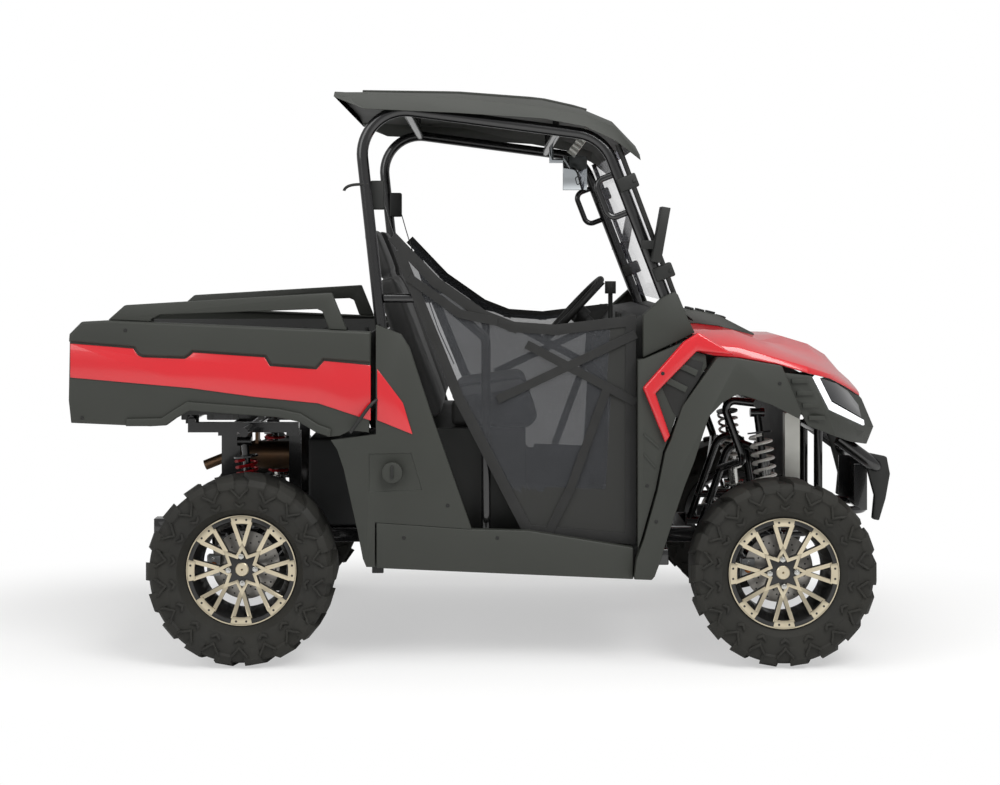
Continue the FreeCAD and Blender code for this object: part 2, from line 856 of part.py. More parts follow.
def build_rear_frame():
    """Side frames behind the engine, under two deck rails that carry the bed's pin."""
    r = mm.brace_radius
    thin = r * THIN_SHARE
    y = rear_frame_y.value
    low = frame_axis_z.value
    start = mm.rail_rear_x - mm.seat_gap
    back = rear_end_x.value
    pin_half = mm.bed_pin_half_span
    plate = mm.plate_thick
    deck_low, deck_top = mm.deck_low_z, mm.deck_low_z + mm.deck_height
    deck_y = (mm.bed_ear_y + plate * 2, mm.bed_ear_y + plate * 2 + mm.deck_height)
    deck_x = (mm.bed_pin_x - mm.bed_pin_radius * 0.7, mm.engine_post_x + mm.engine_post_length)
    side = [
        bar(V(start, y, low), V(back, y, low), r),
        bar(V(mm.rear_post_x - thin / 2, y, mm.upper_pivot_z), V(deck_x[1], y, mm.upper_pivot_z), thin),
        slab(deck_x, deck_y, (deck_low, deck_top)),
        slab((deck_x[0], mm.bed_pin_x + mm.bed_pin_radius * 1.6), deck_y,
             (deck_low, mm.bed_pin_z + mm.bed_pin_radius / 4))]
    for x, length in ((mm.rear_post_x, mm.rear_post_length), (mm.engine_post_x, mm.engine_post_length)):
        side.append(slab((x, x + length), (y - plate, y + plate), (low, deck_low)))
        side.append(slab((x, x + length), (y - plate, deck_y[1]), (deck_low - plate * 2, deck_low)))
    across = [bar(V(mm.bed_pin_x, -pin_half, mm.bed_pin_z), V(mm.bed_pin_x, pin_half, mm.bed_pin_z), mm.bed_pin_radius)]
    span = mm.rear_shock_y + r
    axis = deck_axis_z.value
    across.append(bar(V(mm.rear_shock_x, -span, axis), V(mm.rear_shock_x, span, axis), r))
    for x, z, radius in ((mm.rear_post_x + thin, mm.upper_pivot_z, thin * 0.9), (back, low, r)):
        across.append(bar(V(x, -y, z), V(x, y, z), radius))
    node("rear_frame", shaped("RearFrame", joined(side + [mirror_y(s) for s in side] + across)))


def build_receiver():
    """A square socket for a ball mount, with a hole across it for its pin."""
    outer = size.receiver_outer
    bore = size.receiver_bore
    back = size.receiver_mouth_x
    end = size.receiver_length
    shell = box("ReceiverShell", (back, -outer / 2, frame_axis_z - outer / 2), (end, outer, outer))
    hollow = box("ReceiverHollow", (back - outer, -bore / 2, frame_axis_z - bore / 2),
                 (end + outer - size.plate_thick, bore, bore))
    pin = cylinder("ReceiverPinHole", (back + size.receiver_pin_inset, -outer, frame_axis_z), "Y",
                   size.receiver_pin_radius, outer * 2)
    node("receiver", cut("Receiver", shell, fuse("ReceiverVoid", hollow, pin)))


# Cab

def build_floor():
    half = size.floor_half_width
    thick = size.floor_thick
    plate = box("FloorPlate", (size.floor_rear_x, -half, floor_low), (size.toe_x + thick - size.floor_rear_x, half * 2, thick))
    toe = [(size.toe_x, floor_low), (size.toe_x + thick, floor_low), (size.toe_top_x, size.toe_top_z),
           (size.toe_top_x - thick, size.toe_top_z)]
    board = pad("ToeBoard", "XZ_Plane", toe, (ZERO, half, ZERO), half * 2)
    node("floor_pan", fuse("FloorPan", plate, board))


def build_seat_base():
    """An open-bottomed box under the seats."""
    half = size.seat_base_half_width
    wall = size.wall_thick
    low = floor_top + size.seat_gap
    rear = size.floor_rear_x
    length = size.seat_base_front_x - rear
    outer = box("SeatBaseShell", (rear, -half, low), (length, half * 2, size.seat_base_top_z - low))
    inner = box("SeatBaseHollow", (rear + wall, wall - half, low - wall),
                (length - wall * 2, (half - wall) * 2, size.seat_base_top_z - low))
    node("seat_base", cut("SeatBase", outer, inner))


CUSHION_SHARES = [(0, 0), (0.9, 0), (1, 0.25), (0.9, 1), (0.1, 0.75), (0, 0.75)]


def build_seats():
    width = mm.cushion_width
    thick = mm.cushion_thick
    low = mm.seat_base_top_z + mm.seat_gap
    start = mm.cushion_rear_x
    side = -mm.seat_centre_y - width / 2
    outline = placed(CUSHION_SHARES, (start, low), (mm.cushion_length, thick))
    cushion = prism(upright(outline, side), V(0, width, 0))
    node("seat_cushions", shaped("SeatCushions", both_sides(cushion)))
    lean = math.radians(mm.back_lean)
    up = V(-math.sin(lean), 0, math.cos(lean))
    ahead = V(math.cos(lean), 0, math.sin(lean))
    deep = mm.back_thick
    foot = V(start - deep * 0.1, side, low + ahead.z * deep + mm.seat_gap)
    top = foot + up * mm.back_height
    back = prism([foot, top, top - ahead * deep * 0.7, foot - ahead * deep], V(0, width, 0))
    head_y = (width - mm.headrest_width) / 2
    head = top + up * mm.seat_gap - ahead * deep * 0.05 + V(0, head_y, 0)
    rise = up * mm.headrest_height
    depth = ahead * mm.headrest_thick * 0.7
    rest = prism([head, head + rise, head + rise - depth, head - depth], V(0, mm.headrest_width, 0))
    node("seat_backs", shaped("SeatBacks", both_sides(back, rest)))


DASH_SHARES = [(0.275, 0), (0, 0.25), (0.075, 0.517), (0.275, 0.783), (0.475, 0.95), (0.875, 1), (1, 0.917), (1, 0)]


def wheel_frame():
    """The steering wheel's centre and the direction of its column."""
    tilt = math.radians(mm.column_angle)
    return V(mm.wheel_centre_x, mm.wheel_centre_y, mm.wheel_centre_z), V(math.cos(tilt), 0, -math.sin(tilt))


def build_dash():
    outline = placed(DASH_SHARES, (ZERO, ZERO), (size.dash_depth, size.dash_height))
    panel = pad("DashPanel", "XZ_Plane", outline, (size.dash_rear_x, cage_inner, size.dash_bottom_z), cage_inner * 2)
    centre, along = wheel_frame()
    column = shaped("Column", bar(centre + along * mm.column_start, centre + along * (mm.column_start + mm.column_length),
                                  mm.column_radius))
    stem = cylinder("LeverStem", (size.dash_rear_x + size.dash_depth / 4, size.lever_y, size.dash_bottom_z + size.dash_height / 2),
                    "Z", size.rod_radius, size.dash_height / 2 + size.lever_rise)
    knob = cylinder("LeverKnob", (size.dash_rear_x + size.dash_depth / 4, size.lever_y,
                                  size.dash_bottom_z + size.dash_height + size.lever_rise - size.column_radius),
                    "Z", size.column_radius * 0.9, size.column_radius * 2)
    node("dash", fuse("Dash", panel, column, stem, knob))


def build_steering_wheel():
    centre, along = wheel_frame()
    ring = Part.makeTorus(mm.wheel_ring_radius, mm.wheel_grip_radius, centre, along)
    hub = Part.makeCylinder(mm.column_radius * 1.6, mm.column_start - mm.seat_gap, centre, along)
    up = V(0, 1, 0).cross(along)
    parts = [ring, hub]
    start = centre + along * mm.wheel_grip_radius
    for angle in (-10, 190, 90):
        turn = math.radians(angle)
        out = V(0, 1, 0) * math.cos(turn) - up * math.sin(turn)
        parts.append(Part.makeCylinder(mm.wheel_grip_radius * 0.7, mm.wheel_ring_radius, start, out))
    node("steering_wheel", shaped("SteeringWheel", joined(parts)))


# Roll cage

def cage_path(y):
    """One side of the cage, from its rear foot over the roof to its front foot."""
    foot = floor_top + size.seat_gap
    return [point(mm.rear_foot_x, y, foot), point(mm.cage_knee_x, y, mm.cage_knee_z),
            point(mm.cage_rear_x, y, mm.cage_rear_z), point(mm.cage_front_x, y, mm.cage_front_z),
            point(mm.cowl_bend_x, y, mm.cowl_bend_z), point(mm.cage_front_foot_x, y, foot)]


ROOF_STATION_SHARES = [
    # along, edge low, edge high, crown
    (0, 0.875, 0.95, 1), (0.1, 0.72, 0.93, 1), (0.4, 0.67, 0.87, 0.98), (0.68, 0.6, 0.76, 0.9),
    (0.82, 0.5, 0.66, 0.78), (0.92, 0.32, 0.5, 0.62), (1, 0.08, 0.16, 0.3)]
# Across the roof, from its edge to its flat middle
ROOF_SIDE_SHARES = (1, 0.94, 0.7, 0.3)


def roof_crown(x):
    """Height of the roof's top over its flat middle."""
    crowns = [(row[0], row[3]) for row in ROOF_STATION_SHARES]
    return mm.roof_bottom_z + mm.roof_height * between(crowns, (x - mm.roof_rear_x) / mm.roof_length)


ROOF_BAR_SHARES = (0.2, 0.82)


def roof_bar(share):
    """X and Z of a cross bar between the two roof rails."""
    return (mm.cage_rear_x + (mm.cage_front_x - mm.cage_rear_x) * share,
            mm.cage_rear_z + (mm.cage_front_z - mm.cage_rear_z) * share)


def build_cage():
    y = -mm.cage_half_width
    hoop = tube(cage_path(y), mm.tube_radius, mm.cage_bend)
    node("cage_right", shaped("CageRight", hoop))
    node("cage_left", shaped("CageLeft", mirror_y(hoop)))
    bars = []
    r = size.brace_radius
    lean = (mm.cage_rear_x - mm.cage_knee_x) / (mm.cage_rear_z - mm.cage_knee_z)
    for label, z in (("BeltBar", size.belt_bar_z), ("LowBar", size.low_bar_z)):
        x = size.cage_knee_x + (z - size.cage_knee_z) * lean
        bars.append(cylinder(label, (x, -cage_inner, z), "Y", r, cage_inner * 2))
    for n, share in enumerate(ROOF_BAR_SHARES):
        x = size.cage_rear_x + (size.cage_front_x - size.cage_rear_x) * share
        z = size.cage_rear_z + (size.cage_front_z - size.cage_rear_z) * share
        bars.append(cylinder(f"RoofBar{n}", (x, -cage_inner, z), "Y", r, cage_inner * 2))
        reach = mm.brace_radius
        bar_x, bar_z = roof_bar(share)
        top = min(roof_crown(bar_x + reach), roof_crown(bar_x - reach)) - mm.roof_wall - mm.seat_gap
        for side in (-1, 1):
            post = slab((bar_x - reach * 0.7, bar_x + reach * 0.7),
                        (side * mm.roof_post_y - reach, side * mm.roof_post_y + reach), (bar_z, top))
            bars.append(shaped(f"RoofPost{n}{side + 1}", post))
    node("cage_cross", fuse("CageCross", *bars))
    start_z = mm.hip_bar_top_z
    start_x = mm.cage_knee_x + (start_z - mm.brace_radius - mm.cage_knee_z) * lean
    start_x += mm.tube_radius * math.hypot(1, lean) + mm.seat_gap
    front = mm.hip_bar_front_x
    inboard = (mm.floor_half_width + mm.seat_base_half_width) / -2
    bend = mm.frame_bend
    rise = bend * 1.5
    foot_z = floor_top.value + mm.seat_gap + mm.brace_radius * (inboard - y) / math.hypot(inboard - y, rise)
    line = [V(start_x, y, start_z), V(front - bend * 2.7, y, start_z), V(front, y, mm.belt_bar_z),
            V(front, y, foot_z + rise), V(front, inboard, foot_z)]
    node("hip_bars", shaped("HipBars", both_sides(tube(line, mm.brace_radius, bend * 0.7))))
    pillar = V(mm.cage_front_x - mm.cowl_bend_x, 0, mm.cage_front_z - mm.cowl_bend_z).normalize()
    back = V(-pillar.z, 0, pillar.x)
    grips = []
    for z in (mm.handle_low_z, mm.handle_high_z):
        x = between([(mm.cowl_bend_z, mm.cowl_bend_x), (mm.cage_front_z, mm.cage_front_x)], z)
        grips.append(V(x, y, z) + back * (mm.tube_radius + mm.seat_gap))
    out = back * mm.handle_reach
    line = [grips[0], grips[0] + out, grips[1] + out, grips[1]]
    node("grab_handles", shaped("GrabHandles", both_sides(tube(line, mm.handle_radius, mm.handle_bend))))


def build_roof():
    sections = []
    half = mm.roof_half_width
    wall = mm.roof_wall
    for along, low, high, crown in ROOF_STATION_SHARES:
        x = mm.roof_rear_x + mm.roof_length * along
        levels = [mm.roof_bottom_z + mm.roof_height * share for share in (low, high, crown, crown)]
        over = [(half * share, z) for share, z in zip(ROOF_SIDE_SHARES, levels)]
        inside = [(half - wall, levels[0]), (half * ROOF_SIDE_SHARES[1] - wall, levels[1] - wall)]
        inside += [(y, z - wall) for y, z in over[2:]]
        top = over + [(-y, z) for y, z in reversed(over)]
        under = inside + [(-y, z) for y, z in reversed(inside)]
        sections.append([V(x, y, z) for y, z in top + under[::-1]])
    node("roof", shaped("Roof", polyhedron(sections)))


def build_windscreen():
    low = V(mm.cowl_bend_x, 0, mm.cowl_bend_z)
    rise = (V(mm.cage_front_x, 0, mm.cage_front_z) - low).normalize()
    out = V(rise.z, 0, -rise.x)
    half = V(0, mm.screen_half_width, 0)
    start = low + out * (mm.tube_radius + mm.seat_gap) + rise * mm.screen_start - half
    top = start + rise * mm.screen_height
    thick = out * mm.screen_thick
    node("windscreen", shaped("Windscreen", prism([start, top, top + thick, start + thick], half * 2)))


# Side panels

SILL_SHARES = [(0, 0.2), (1, 0.005), (1, 0.56), (0.592, 0.856), (0.371, 0.882), (0, 1)]
QUARTER_SHARES = [
    (0.32, 1), (0.32, 0.548), (0, 0.524), (0.046, 0.484), (0.091, 0.405), (0.137, 0.283), (0.191, 0.145),
    (0.228, 0.034), (0.253, 0), (0.311, 0)]
QUARTER_FRONT_SHARES = [(0.701, 0.652), (0.558, 0.905), (0.498, 0.961)]
QUARTER_STRIPE_SHARES = [(0.33, 0.819), (0.512, 0.679), (0.581, 0.548), (0.33, 0.607)]
RECESS_SHARES = [(0.272, 0.467), (0.571, 0.471), (0.647, 0.319), (0.272, 0.31)]
FENDER_FOOT_SHARES = [
    (0, 0.003), (0.105, 0), (0.123, 0.015), (0.16, 0.09), (0.186, 0.156), (0.228, 0.256), (0.301, 0.419),
    (0.359, 0.531), (0.415, 0.661), (0.45, 0.737), (0.529, 0.798), (0.62, 0.836), (0.714, 0.815), (0.828, 0.785)]
FENDER_TOP_SHARES = [(0.988, 0.724), (1, 0.754), (0.884, 0.962), (0.62, 0.996), (0.496, 1), (0.45, 0.952)]
FENDER_REAR_SHARES = [(0.29, 0.781), (0.221, 0.634), (0.186, 0.573), (0.141, 0.402), (0.06, 0.186), (0.014, 0.089)]
TRIM_SHARES = [(0.051, 0.865), (0.293, 1.071), (0.385, 1.115), (0.603, 1.012), (0.374, 1.029), (0.306, 0.976),
               (0.127, 0.839), (0.214, 0.649), (0.185, 0.618)]
PILLAR_SHARES = [
    (0.026, 0.141), (0.026, 0.989), (0.06, 0.992), (0.304, 1.07), (0.371, 1.103), (0.377, 1.022), (0.43, 1.01),
    (0.436, 0.958), (0.278, 0.785), (0.209, 0.638), (0.174, 0.576), (0.128, 0.404), (0.047, 0.19)]
# Louvre blades on the pillar panel, each from its rear end to its front end
LOUVRE_SHARES = [((0.06, 0.66), (0.15, 0.6)), ((0.06, 0.57), (0.13, 0.51))]


def side_plate(name, outline, outer, thick):
    """A bound plate on the right-hand side, its outer face at -outer."""
    return pad(name, "XZ_Plane", outline, (ZERO, thick - outer, ZERO), thick)


def sill_outline():
    length = mm.fender_rear_x - mm.seat_gap - mm.sill_rear_x
    return placed(SILL_SHARES, (mm.sill_rear_x, mm.sill_bottom_z), (length, mm.sill_height))


def build_side_panels():
    outer = panel_outer.value
    sill = sill_outline()
    node("sills", pair("Sills", shaped("SillRight", tray(sill, outer, mm.panel_flange, mm.panel_wall))))
    start, extent = (mm.quarter_rear_x, mm.quarter_bottom_z), (mm.quarter_length, mm.quarter_height)
    seat = [(x, z + mm.seat_gap) for x, z in (sill[5], sill[4])]
    outline = placed(QUARTER_SHARES, start, extent)
    outline[-1] = (sill[0][0] - mm.panel_gap, outline[-1][1])
    outline += [(outline[-1][0], seat[0][1])] + seat + placed(QUARTER_FRONT_SHARES, start, extent)
    quarter = tray(outline, outer, mm.panel_flange, mm.panel_wall)
    recess = placed(RECESS_SHARES, start, extent)
    quarter = quarter.cut(prism(upright(recess, mm.recess_depth - outer), V(0, -mm.panel_wall, 0)))
    right = shaped("QuarterRight", quarter)
    cap_end = panel_outer - size.recess_depth + size.seat_gap + size.fuel_cap_height
    cap = cylinder("FuelCap", (size.fuel_cap_x, -cap_end, size.fuel_cap_z), "Y", size.fuel_cap_radius,
                   size.fuel_cap_height)
    node("side_panels", group("SidePanels", right, mirrored("QuarterLeft", right), cap))
    stripe = placed(QUARTER_STRIPE_SHARES, (size.quarter_rear_x, size.quarter_bottom_z),
                    (size.quarter_length, size.quarter_height))
    plate = side_plate("QuarterStripeRight", stripe, panel_outer + size.seat_gap + size.stripe_thick, size.stripe_thick)
    node("side_stripes", pair("SideStripes", plate))


def on_fender(shares):
    return placed(shares, (mm.fender_rear_x, mm.fender_bottom_z), (mm.fender_length, mm.fender_height))


def build_front_fenders():
    gap = mm.seat_gap
    inner = cage_outer.value
    outline = on_fender(FENDER_FOOT_SHARES + FENDER_TOP_SHARES + FENDER_REAR_SHARES)
    outer = fender_outer.value
    shell = tray(outline, outer, outer - inner - mm.stripe_thick, mm.panel_wall)
    node("front_fenders", pair("FrontFenders", shaped("FenderRight", shell)))
    face = pillar_outer.value
    panel = tray(on_fender(PILLAR_SHARES), face, face - inner, mm.panel_wall)
    blades = []
    for rear, front in LOUVRE_SHARES:
        (x, z), (ahead, low) = on_fender([rear, front])
        loop = [(x, z), (ahead, low), (ahead, low - mm.louvre_thick), (x, z - mm.louvre_thick)]
        blades.append(prism(upright(loop, mm.panel_wall / 2 - face), V(0, -mm.panel_wall, 0)))
    node("pillar_panels", pair("PillarPanels", shaped("PillarRight", joined([panel] + blades))))
    trim = moulding(on_fender(TRIM_SHARES), face + gap, face + gap + mm.trim_thick * 2, mm.bevel)
    node("fender_trims", pair("FenderTrims", shaped("FenderTrimRight", trim)))


# Front panels

HOOD_SHARES = [
    # along; middle and valley height; side and height of crease, shoulder and edge. No edge height: it rests
    # on the fender.
    (0, 0.875, 0.844, 0.812, 0.844, 0.98, 0.734, 1, 0.647), (0.113, 0.875, 0.828, 0.79, 0.856, 0.983, 0.713, 1, None),
    (0.243, 0.844, 0.797, 0.754, 0.853, 0.983, 0.688, 1, None), (0.461, 0.738, 0.694, 0.71, 0.694, 0.983, 0.569, 1, None),
    (0.623, 0.731, 0.641, 0.681, 0.572, 0.98, 0.48, 0.998, 0.415), (0.777, 0.641, 0.556, 0.638, 0.444, 0.84, 0.38, 0.862, 0.34),
    (0.882, 0.516, 0.438, 0.609, 0.328, 0.735, 0.275, 0.757, 0.243), (1, 0.25, 0.234, 0.551, 0.172, 0.609, 0.141, 0.623, 0.11)]
HOOD_VALLEY_SHARE = 0.38
# Rise of the middle lid over the hood, along its first stations
LID_SHARES = [(0.16, 0.9), (0.15, 0.9), (0.13, 0.88), (0.02, 0.86)]


def under(line, wall):
    """The inner face of a sheet: its section moved down by its thickness, square to each run."""
    runs = [V(0, b[0] - a[0], b[1] - a[1]).normalize() for a, b in zip(line, line[1:])]
    result = []
    for n, (y, z) in enumerate(line):
        normals = [V(0, run.z, -run.y) for run in runs[max(n - 1, 0):n + 1]]
        middle = V(0, sum(v.y for v in normals), sum(v.z for v in normals)).normalize()
        reach = wall / middle.dot(normals[0])
        result.append((y + middle.y * reach, z + middle.z * reach))
    return result


def hood_lines():
    """The hood's sections from its right edge to its left edge, as X and points in YZ."""
    seat = sorted(on_fender(FENDER_TOP_SHARES))
    rise = mm.skin_thick / 2 + mm.seat_gap
    half = hood_half.value
    lines = []
    for along, middle, valley, crease_y, crease_z, shoulder_y, shoulder_z, edge_y, edge_z in HOOD_SHARES:
        x = mm.hood_rear_x + mm.hood_length * along
        edge = between(seat, x) + rise if edge_z is None else mm.hood_bottom_z + mm.hood_height * edge_z
        line = [(-half * edge_y, edge)]
        rows = ((shoulder_y, shoulder_z), (crease_y, crease_z), (HOOD_VALLEY_SHARE, valley),
                (mm.lid_half_width / half, middle))
        line += [(-half * share, mm.hood_bottom_z + mm.hood_height * level) for share, level in rows]
        lines.append((x, line + [(-y, z) for y, z in reversed(line)]))
    return lines


def build_hood():
    lines = hood_lines()
    sections = []
    for x, line in lines:
        loop = line + under(line, mm.skin_thick)[::-1]
        sections.append([V(x, y, z) for y, z in loop])
    node("hood", shaped("Hood", polyhedron(sections)))
    lid = []
    for (x, line), (lift, inner) in zip(lines, LID_SHARES):
        low = line[4][1] + mm.seat_gap
        half = mm.lid_half_width
        high = low + mm.hood_height * lift
        lid.append([V(x, -half, low), V(x, -half * inner, high), V(x, half * inner, high), V(x, half, low)])
    node("hood_lid", shaped("HoodLid", polyhedron(lid)))


COWL_SHARES = [(0, 0.647), (0.369, 0.911), (0.61, 1), (0.672, 0.96), (0.867, 0.589), (1, 0.379), (0.713, 0.263), (0, 0)]


def build_cowl():
    outline = placed(COWL_SHARES, (mm.cowl_rear_x, mm.cowl_bottom_z), (mm.cowl_length, mm.cowl_height))
    side = tray(outline, panel_outer.value, panel_outer.value - cage_outer.value, mm.panel_wall)
    node("cowl_sides", pair("CowlSides", shaped("CowlSide", side)))
    half = cage_inner.value
    thick = mm.skin_thick
    front = mm.hood_rear_x - mm.seat_gap
    rear = mm.dash_rear_x + mm.dash_depth + mm.seat_gap
    base = mm.cowl_bend_z
    line = [(rear, base - thick * 2), (rear + thick, base + thick * 2), (front - (front - rear) * 0.45, base + thick * 3),
            (front, base - thick * 2)]
    loop = line + [(x, z - thick) for x, z in reversed(line[1:])] + [(rear + thick, base - thick * 2)]
    node("cowl_top", shaped("CowlTop", prism(upright(loop, -half), V(0, half * 2, 0))))


# The nose's columns from its side to its front: X and Z in shares of the nose's box, Y of the hood's half width.
# The points left open lie on the lamp's flat facet.
NOSE_SHARES = [
    [(0.023, 1, 1.008), (0.128, 1.003, 0.665), (0.212, 1, 0.308)],
    [(0.242, 0.997, 0.965), (0.383, 1.006, 0.454), (0.459, 0.986, 0.169)],
    [None, None, (0.676, 0.8, 0.038)],
    [(0.829, 0.623, 0.581), None, (0.88, 0.609, -0.046)],
    [(0.849, 0.29, 0.704), (1, 0.29, 0.223), (0.939, 0.29, -0.027)]]
# Their column and row, and their place on the facet: down its rear edge, and towards its front corner
ON_LAMP_SHARES = [(2, 0, -0.15, 0.5), (2, 1, 0.9, 0.5), (3, 1, 0.75, 1)]
# The inward direction of each column's wall, along X and Y
NOSE_WALL_SHARES = [(0, 1), (-0.5, 0.9), (-0.7, 0.7), (-0.9, 0.4), (-1, 0)]
RIB_SHARES = (0.415, 0.577, 0.738, 0.9)
# Lamp outlines: along the lamp's rear edge, and from its rear corner to its front corner
LENS_SHARES = [(-0.03, 0.15), (-0.1, 0.5), (-0.02, 0.7), (0.28, 0.816), (0.644, 0.759), (0.503, 0.224)]
LAMP_STRIP_SHARES = [(0.025, 0.008), (-0.047, 0.126), (0.582, 0.171), (0.716, 0.776), (0.877, 0.733), (0.835, 0.072)]


def lamp_facet(columns):
    """The lamp facet's rear upper corner, its rear edge and the way to its front corner."""
    corner = columns[1][0]
    return corner, columns[1][1] - corner, columns[3][0] - corner


def nose_columns():
    """The outer points of each right-hand column. The first column seats on the fender's front edge."""
    half = hood_half.value
    columns = []
    for column in NOSE_SHARES:
        columns.append([share and V(mm.nose_rear_x + mm.nose_length * share[0], -half * share[1],
                                    mm.nose_bottom_z + mm.nose_height * share[2]) for share in column])
    corner, down, ahead = lamp_facet(columns)
    for column, row, a, b in ON_LAMP_SHARES:
        columns[column][row] = corner + down * a + ahead * b
    edge = sorted((z, x) for x, z in on_fender(FENDER_TOP_SHARES[1:3]))
    for p in columns[0][:2]:
        p.x = between(edge, p.z) + mm.seat_gap * 1.15
    return columns


def lamp_plate(shares, low, high):
    """A right-hand plate over the lamp facet, between two heights above it."""
    corner, down, ahead = lamp_facet(nose_columns())
    out = ahead.cross(down).normalize()
    if out.y > 0:
        out = out * -1
    loop = [corner + down * a + ahead * b + out * low for a, b in shares]
    return prism(loop, out * (high - low))


def build_fascia():
    """The dark nose: a sheet folded round from side to side, with a slatted opening in its middle."""
    sections = []
    for column, (ahead, across) in zip(nose_columns(), NOSE_WALL_SHARES):
        inward = V(ahead, across, 0).normalize() * mm.nose_wall
        sections.append(column + [p + inward for p in reversed(column)])
    sections += [[V(p.x, -p.y, p.z) for p in section] for section in reversed(sections)]
    shell = polyhedron(sections)
    half = mm.grille_half_width
    low, high = mm.grille_low_z, mm.grille_low_z + mm.grille_height
    front = mm.nose_rear_x + mm.nose_length
    shell = shell.cut(slab((front - mm.nose_wall * 12, front + mm.nose_wall), (-half, half), (low, high)))
    face = sorted((p.z, p.x) for p in nose_columns()[-1])
    parts = [shell]
    for n in (1, 2, 3):
        z = low + mm.grille_height * n / 4
        x = between(face, z)
        parts.append(slab((x - mm.nose_wall * 2.5, x - mm.nose_wall * 0.2), (-half - mm.panel_gap, half + mm.panel_gap),
                          (z - mm.slat_thick / 2, z + mm.slat_thick / 2)))
    rear = sorted((p.z, p.x) for p in nose_columns()[0])
    side_y = hood_half.value
    for share in RIB_SHARES:
        z = mm.nose_bottom_z + mm.nose_height * share
        x = between(rear, z) + mm.nose_wall * 2
        for hand in (-1, 1):
            sides = sorted((hand * (side_y - mm.nose_wall * 0.2), hand * (side_y + mm.nose_wall)))
            parts.append(slab((x, x + mm.nose_wall * 7), sides, (z - mm.slat_thick, z + mm.slat_thick)))
    node("fascia", shaped("Fascia", joined(parts)))
    lens = lamp_plate(LENS_SHARES, mm.seat_gap, mm.seat_gap + mm.lens_thick)
    node("headlamps", pair("Headlamps", shaped("HeadlampRight", lens)))
    strip = lamp_plate(LAMP_STRIP_SHARES, mm.seat_gap, mm.seat_gap + mm.lamp_strip_thick)
    node("lamp_strips", pair("LampStrips", shaped("LampStripRight", strip)))


# Bed

BED_SKIN_SHARES = [
    (0.044, 0.987), (0.004, 0.882), (0, 0.316), (0.008, 0.12), (0.269, 0.09), (0.323, 0.098), (0.355, 0.158),
    (0.401, 0.223), (0.689, 0.168), (0.76, 0.13), (0.818, 0.038), (0.861, 0), (0.897, 0.01), (0.932, 0.055),
    (0.993, 0.038), (1, 0.902), (0.138, 1)]
# Along the rail, and above the skin's top edge
BED_RAIL_SHARES = [(0, 0), (0.07, 0.42), (0.936, 1), (1, 0), (0.924, 0), (0.896, 0.49), (0.874, 0.54), (0.218, 0.2),
                   (0.18, 0.07), (0.18, 0)]
BED_STRIPE_SHARES = [
    (0.006, 0.799), (0.016, 0.799), (0.215, 0.757), (0.23, 0.699), (0.246, 0.682), (0.386, 0.669), (0.399, 0.692),
    (0.413, 0.724), (0.649, 0.682), (0.666, 0.607), (0.82, 0.579), (0.845, 0.652), (0.999, 0.614), (0.999, 0.14),
    (0.903, 0.223), (0.825, 0.288), (0.616, 0.343), (0.401, 0.419), (0.006, 0.509)]
BED_CAP_SHARES = [
    (0.044, 0.987), (0.004, 0.882), (0.002, 0.817), (0.016, 0.817), (0.219, 0.772), (0.233, 0.714), (0.248, 0.697),
    (0.384, 0.684), (0.397, 0.707), (0.41, 0.739), (0.653, 0.697), (0.67, 0.622), (0.818, 0.594), (0.842, 0.669),
    (0.999, 0.639), (0.999, 0.9), (0.138, 0.997)]
ARCH_LIP_SHARES = [
    (0.19, 0.093), (0.269, 0.093), (0.323, 0.1), (0.355, 0.16), (0.401, 0.226), (0.689, 0.17), (0.76, 0.133),
    (0.818, 0.04), (0.861, 0.003), (0.868, 0.003), (0.868, 0.068), (0.826, 0.108), (0.768, 0.203), (0.694, 0.243),
    (0.393, 0.303), (0.346, 0.228), (0.309, 0.163), (0.19, 0.158)]


def on_bed(shares):
    return placed(shares, (mm.bed_rear_x, mm.bed_low_z), (mm.bed_length, mm.bed_side_height))


def build_bed_sides():
    outer = panel_outer.value
    gap = mm.seat_gap
    skin = tray(on_bed(BED_SKIN_SHARES), outer, mm.bed_side_thick, mm.panel_wall)
    cap = moulding(on_bed(BED_CAP_SHARES), outer + gap, outer + gap + mm.cap_rise, mm.bevel)
    lip = moulding(on_bed(ARCH_LIP_SHARES), outer + gap, outer + gap + mm.cap_rise * 0.8, mm.bevel / 2)
    node("bed_skins", shaped("BedSkins", both_sides(skin, cap, lip)))
    stripe = placed(BED_STRIPE_SHARES, (size.bed_rear_x, size.bed_low_z), (size.bed_length, size.bed_side_height))
    plate = side_plate("BedStripeRight", stripe, panel_outer + size.seat_gap + size.stripe_thick, size.stripe_thick)
    node("bed_stripes", pair("BedStripes", plate))
    front = (size.bed_length, size.bed_side_height * BED_SKIN_SHARES[-2][1])
    corner = (size.bed_length * BED_SKIN_SHARES[-1][0], size.bed_side_height * BED_SKIN_SHARES[-1][1])
    offset = size.rail_rear_foot_x - size.bed_rear_x
    outline = []
    for along, above in BED_RAIL_SHARES:
        x = offset + size.side_rail_length * along
        share = (x.value - corner[0].value) / (front[0].value - corner[0].value)
        top = corner[1] + (front[1] - corner[1]) * share
        outline.append((x, top + size.seat_gap + size.side_rail_height * above))
    rail = pad("BedRailRight", "XZ_Plane", outline, (size.bed_rear_x, size.bed_side_thick - panel_outer, size.bed_low_z),
               size.bed_side_thick)
    node("bed_rails", pair("BedRails", rail))


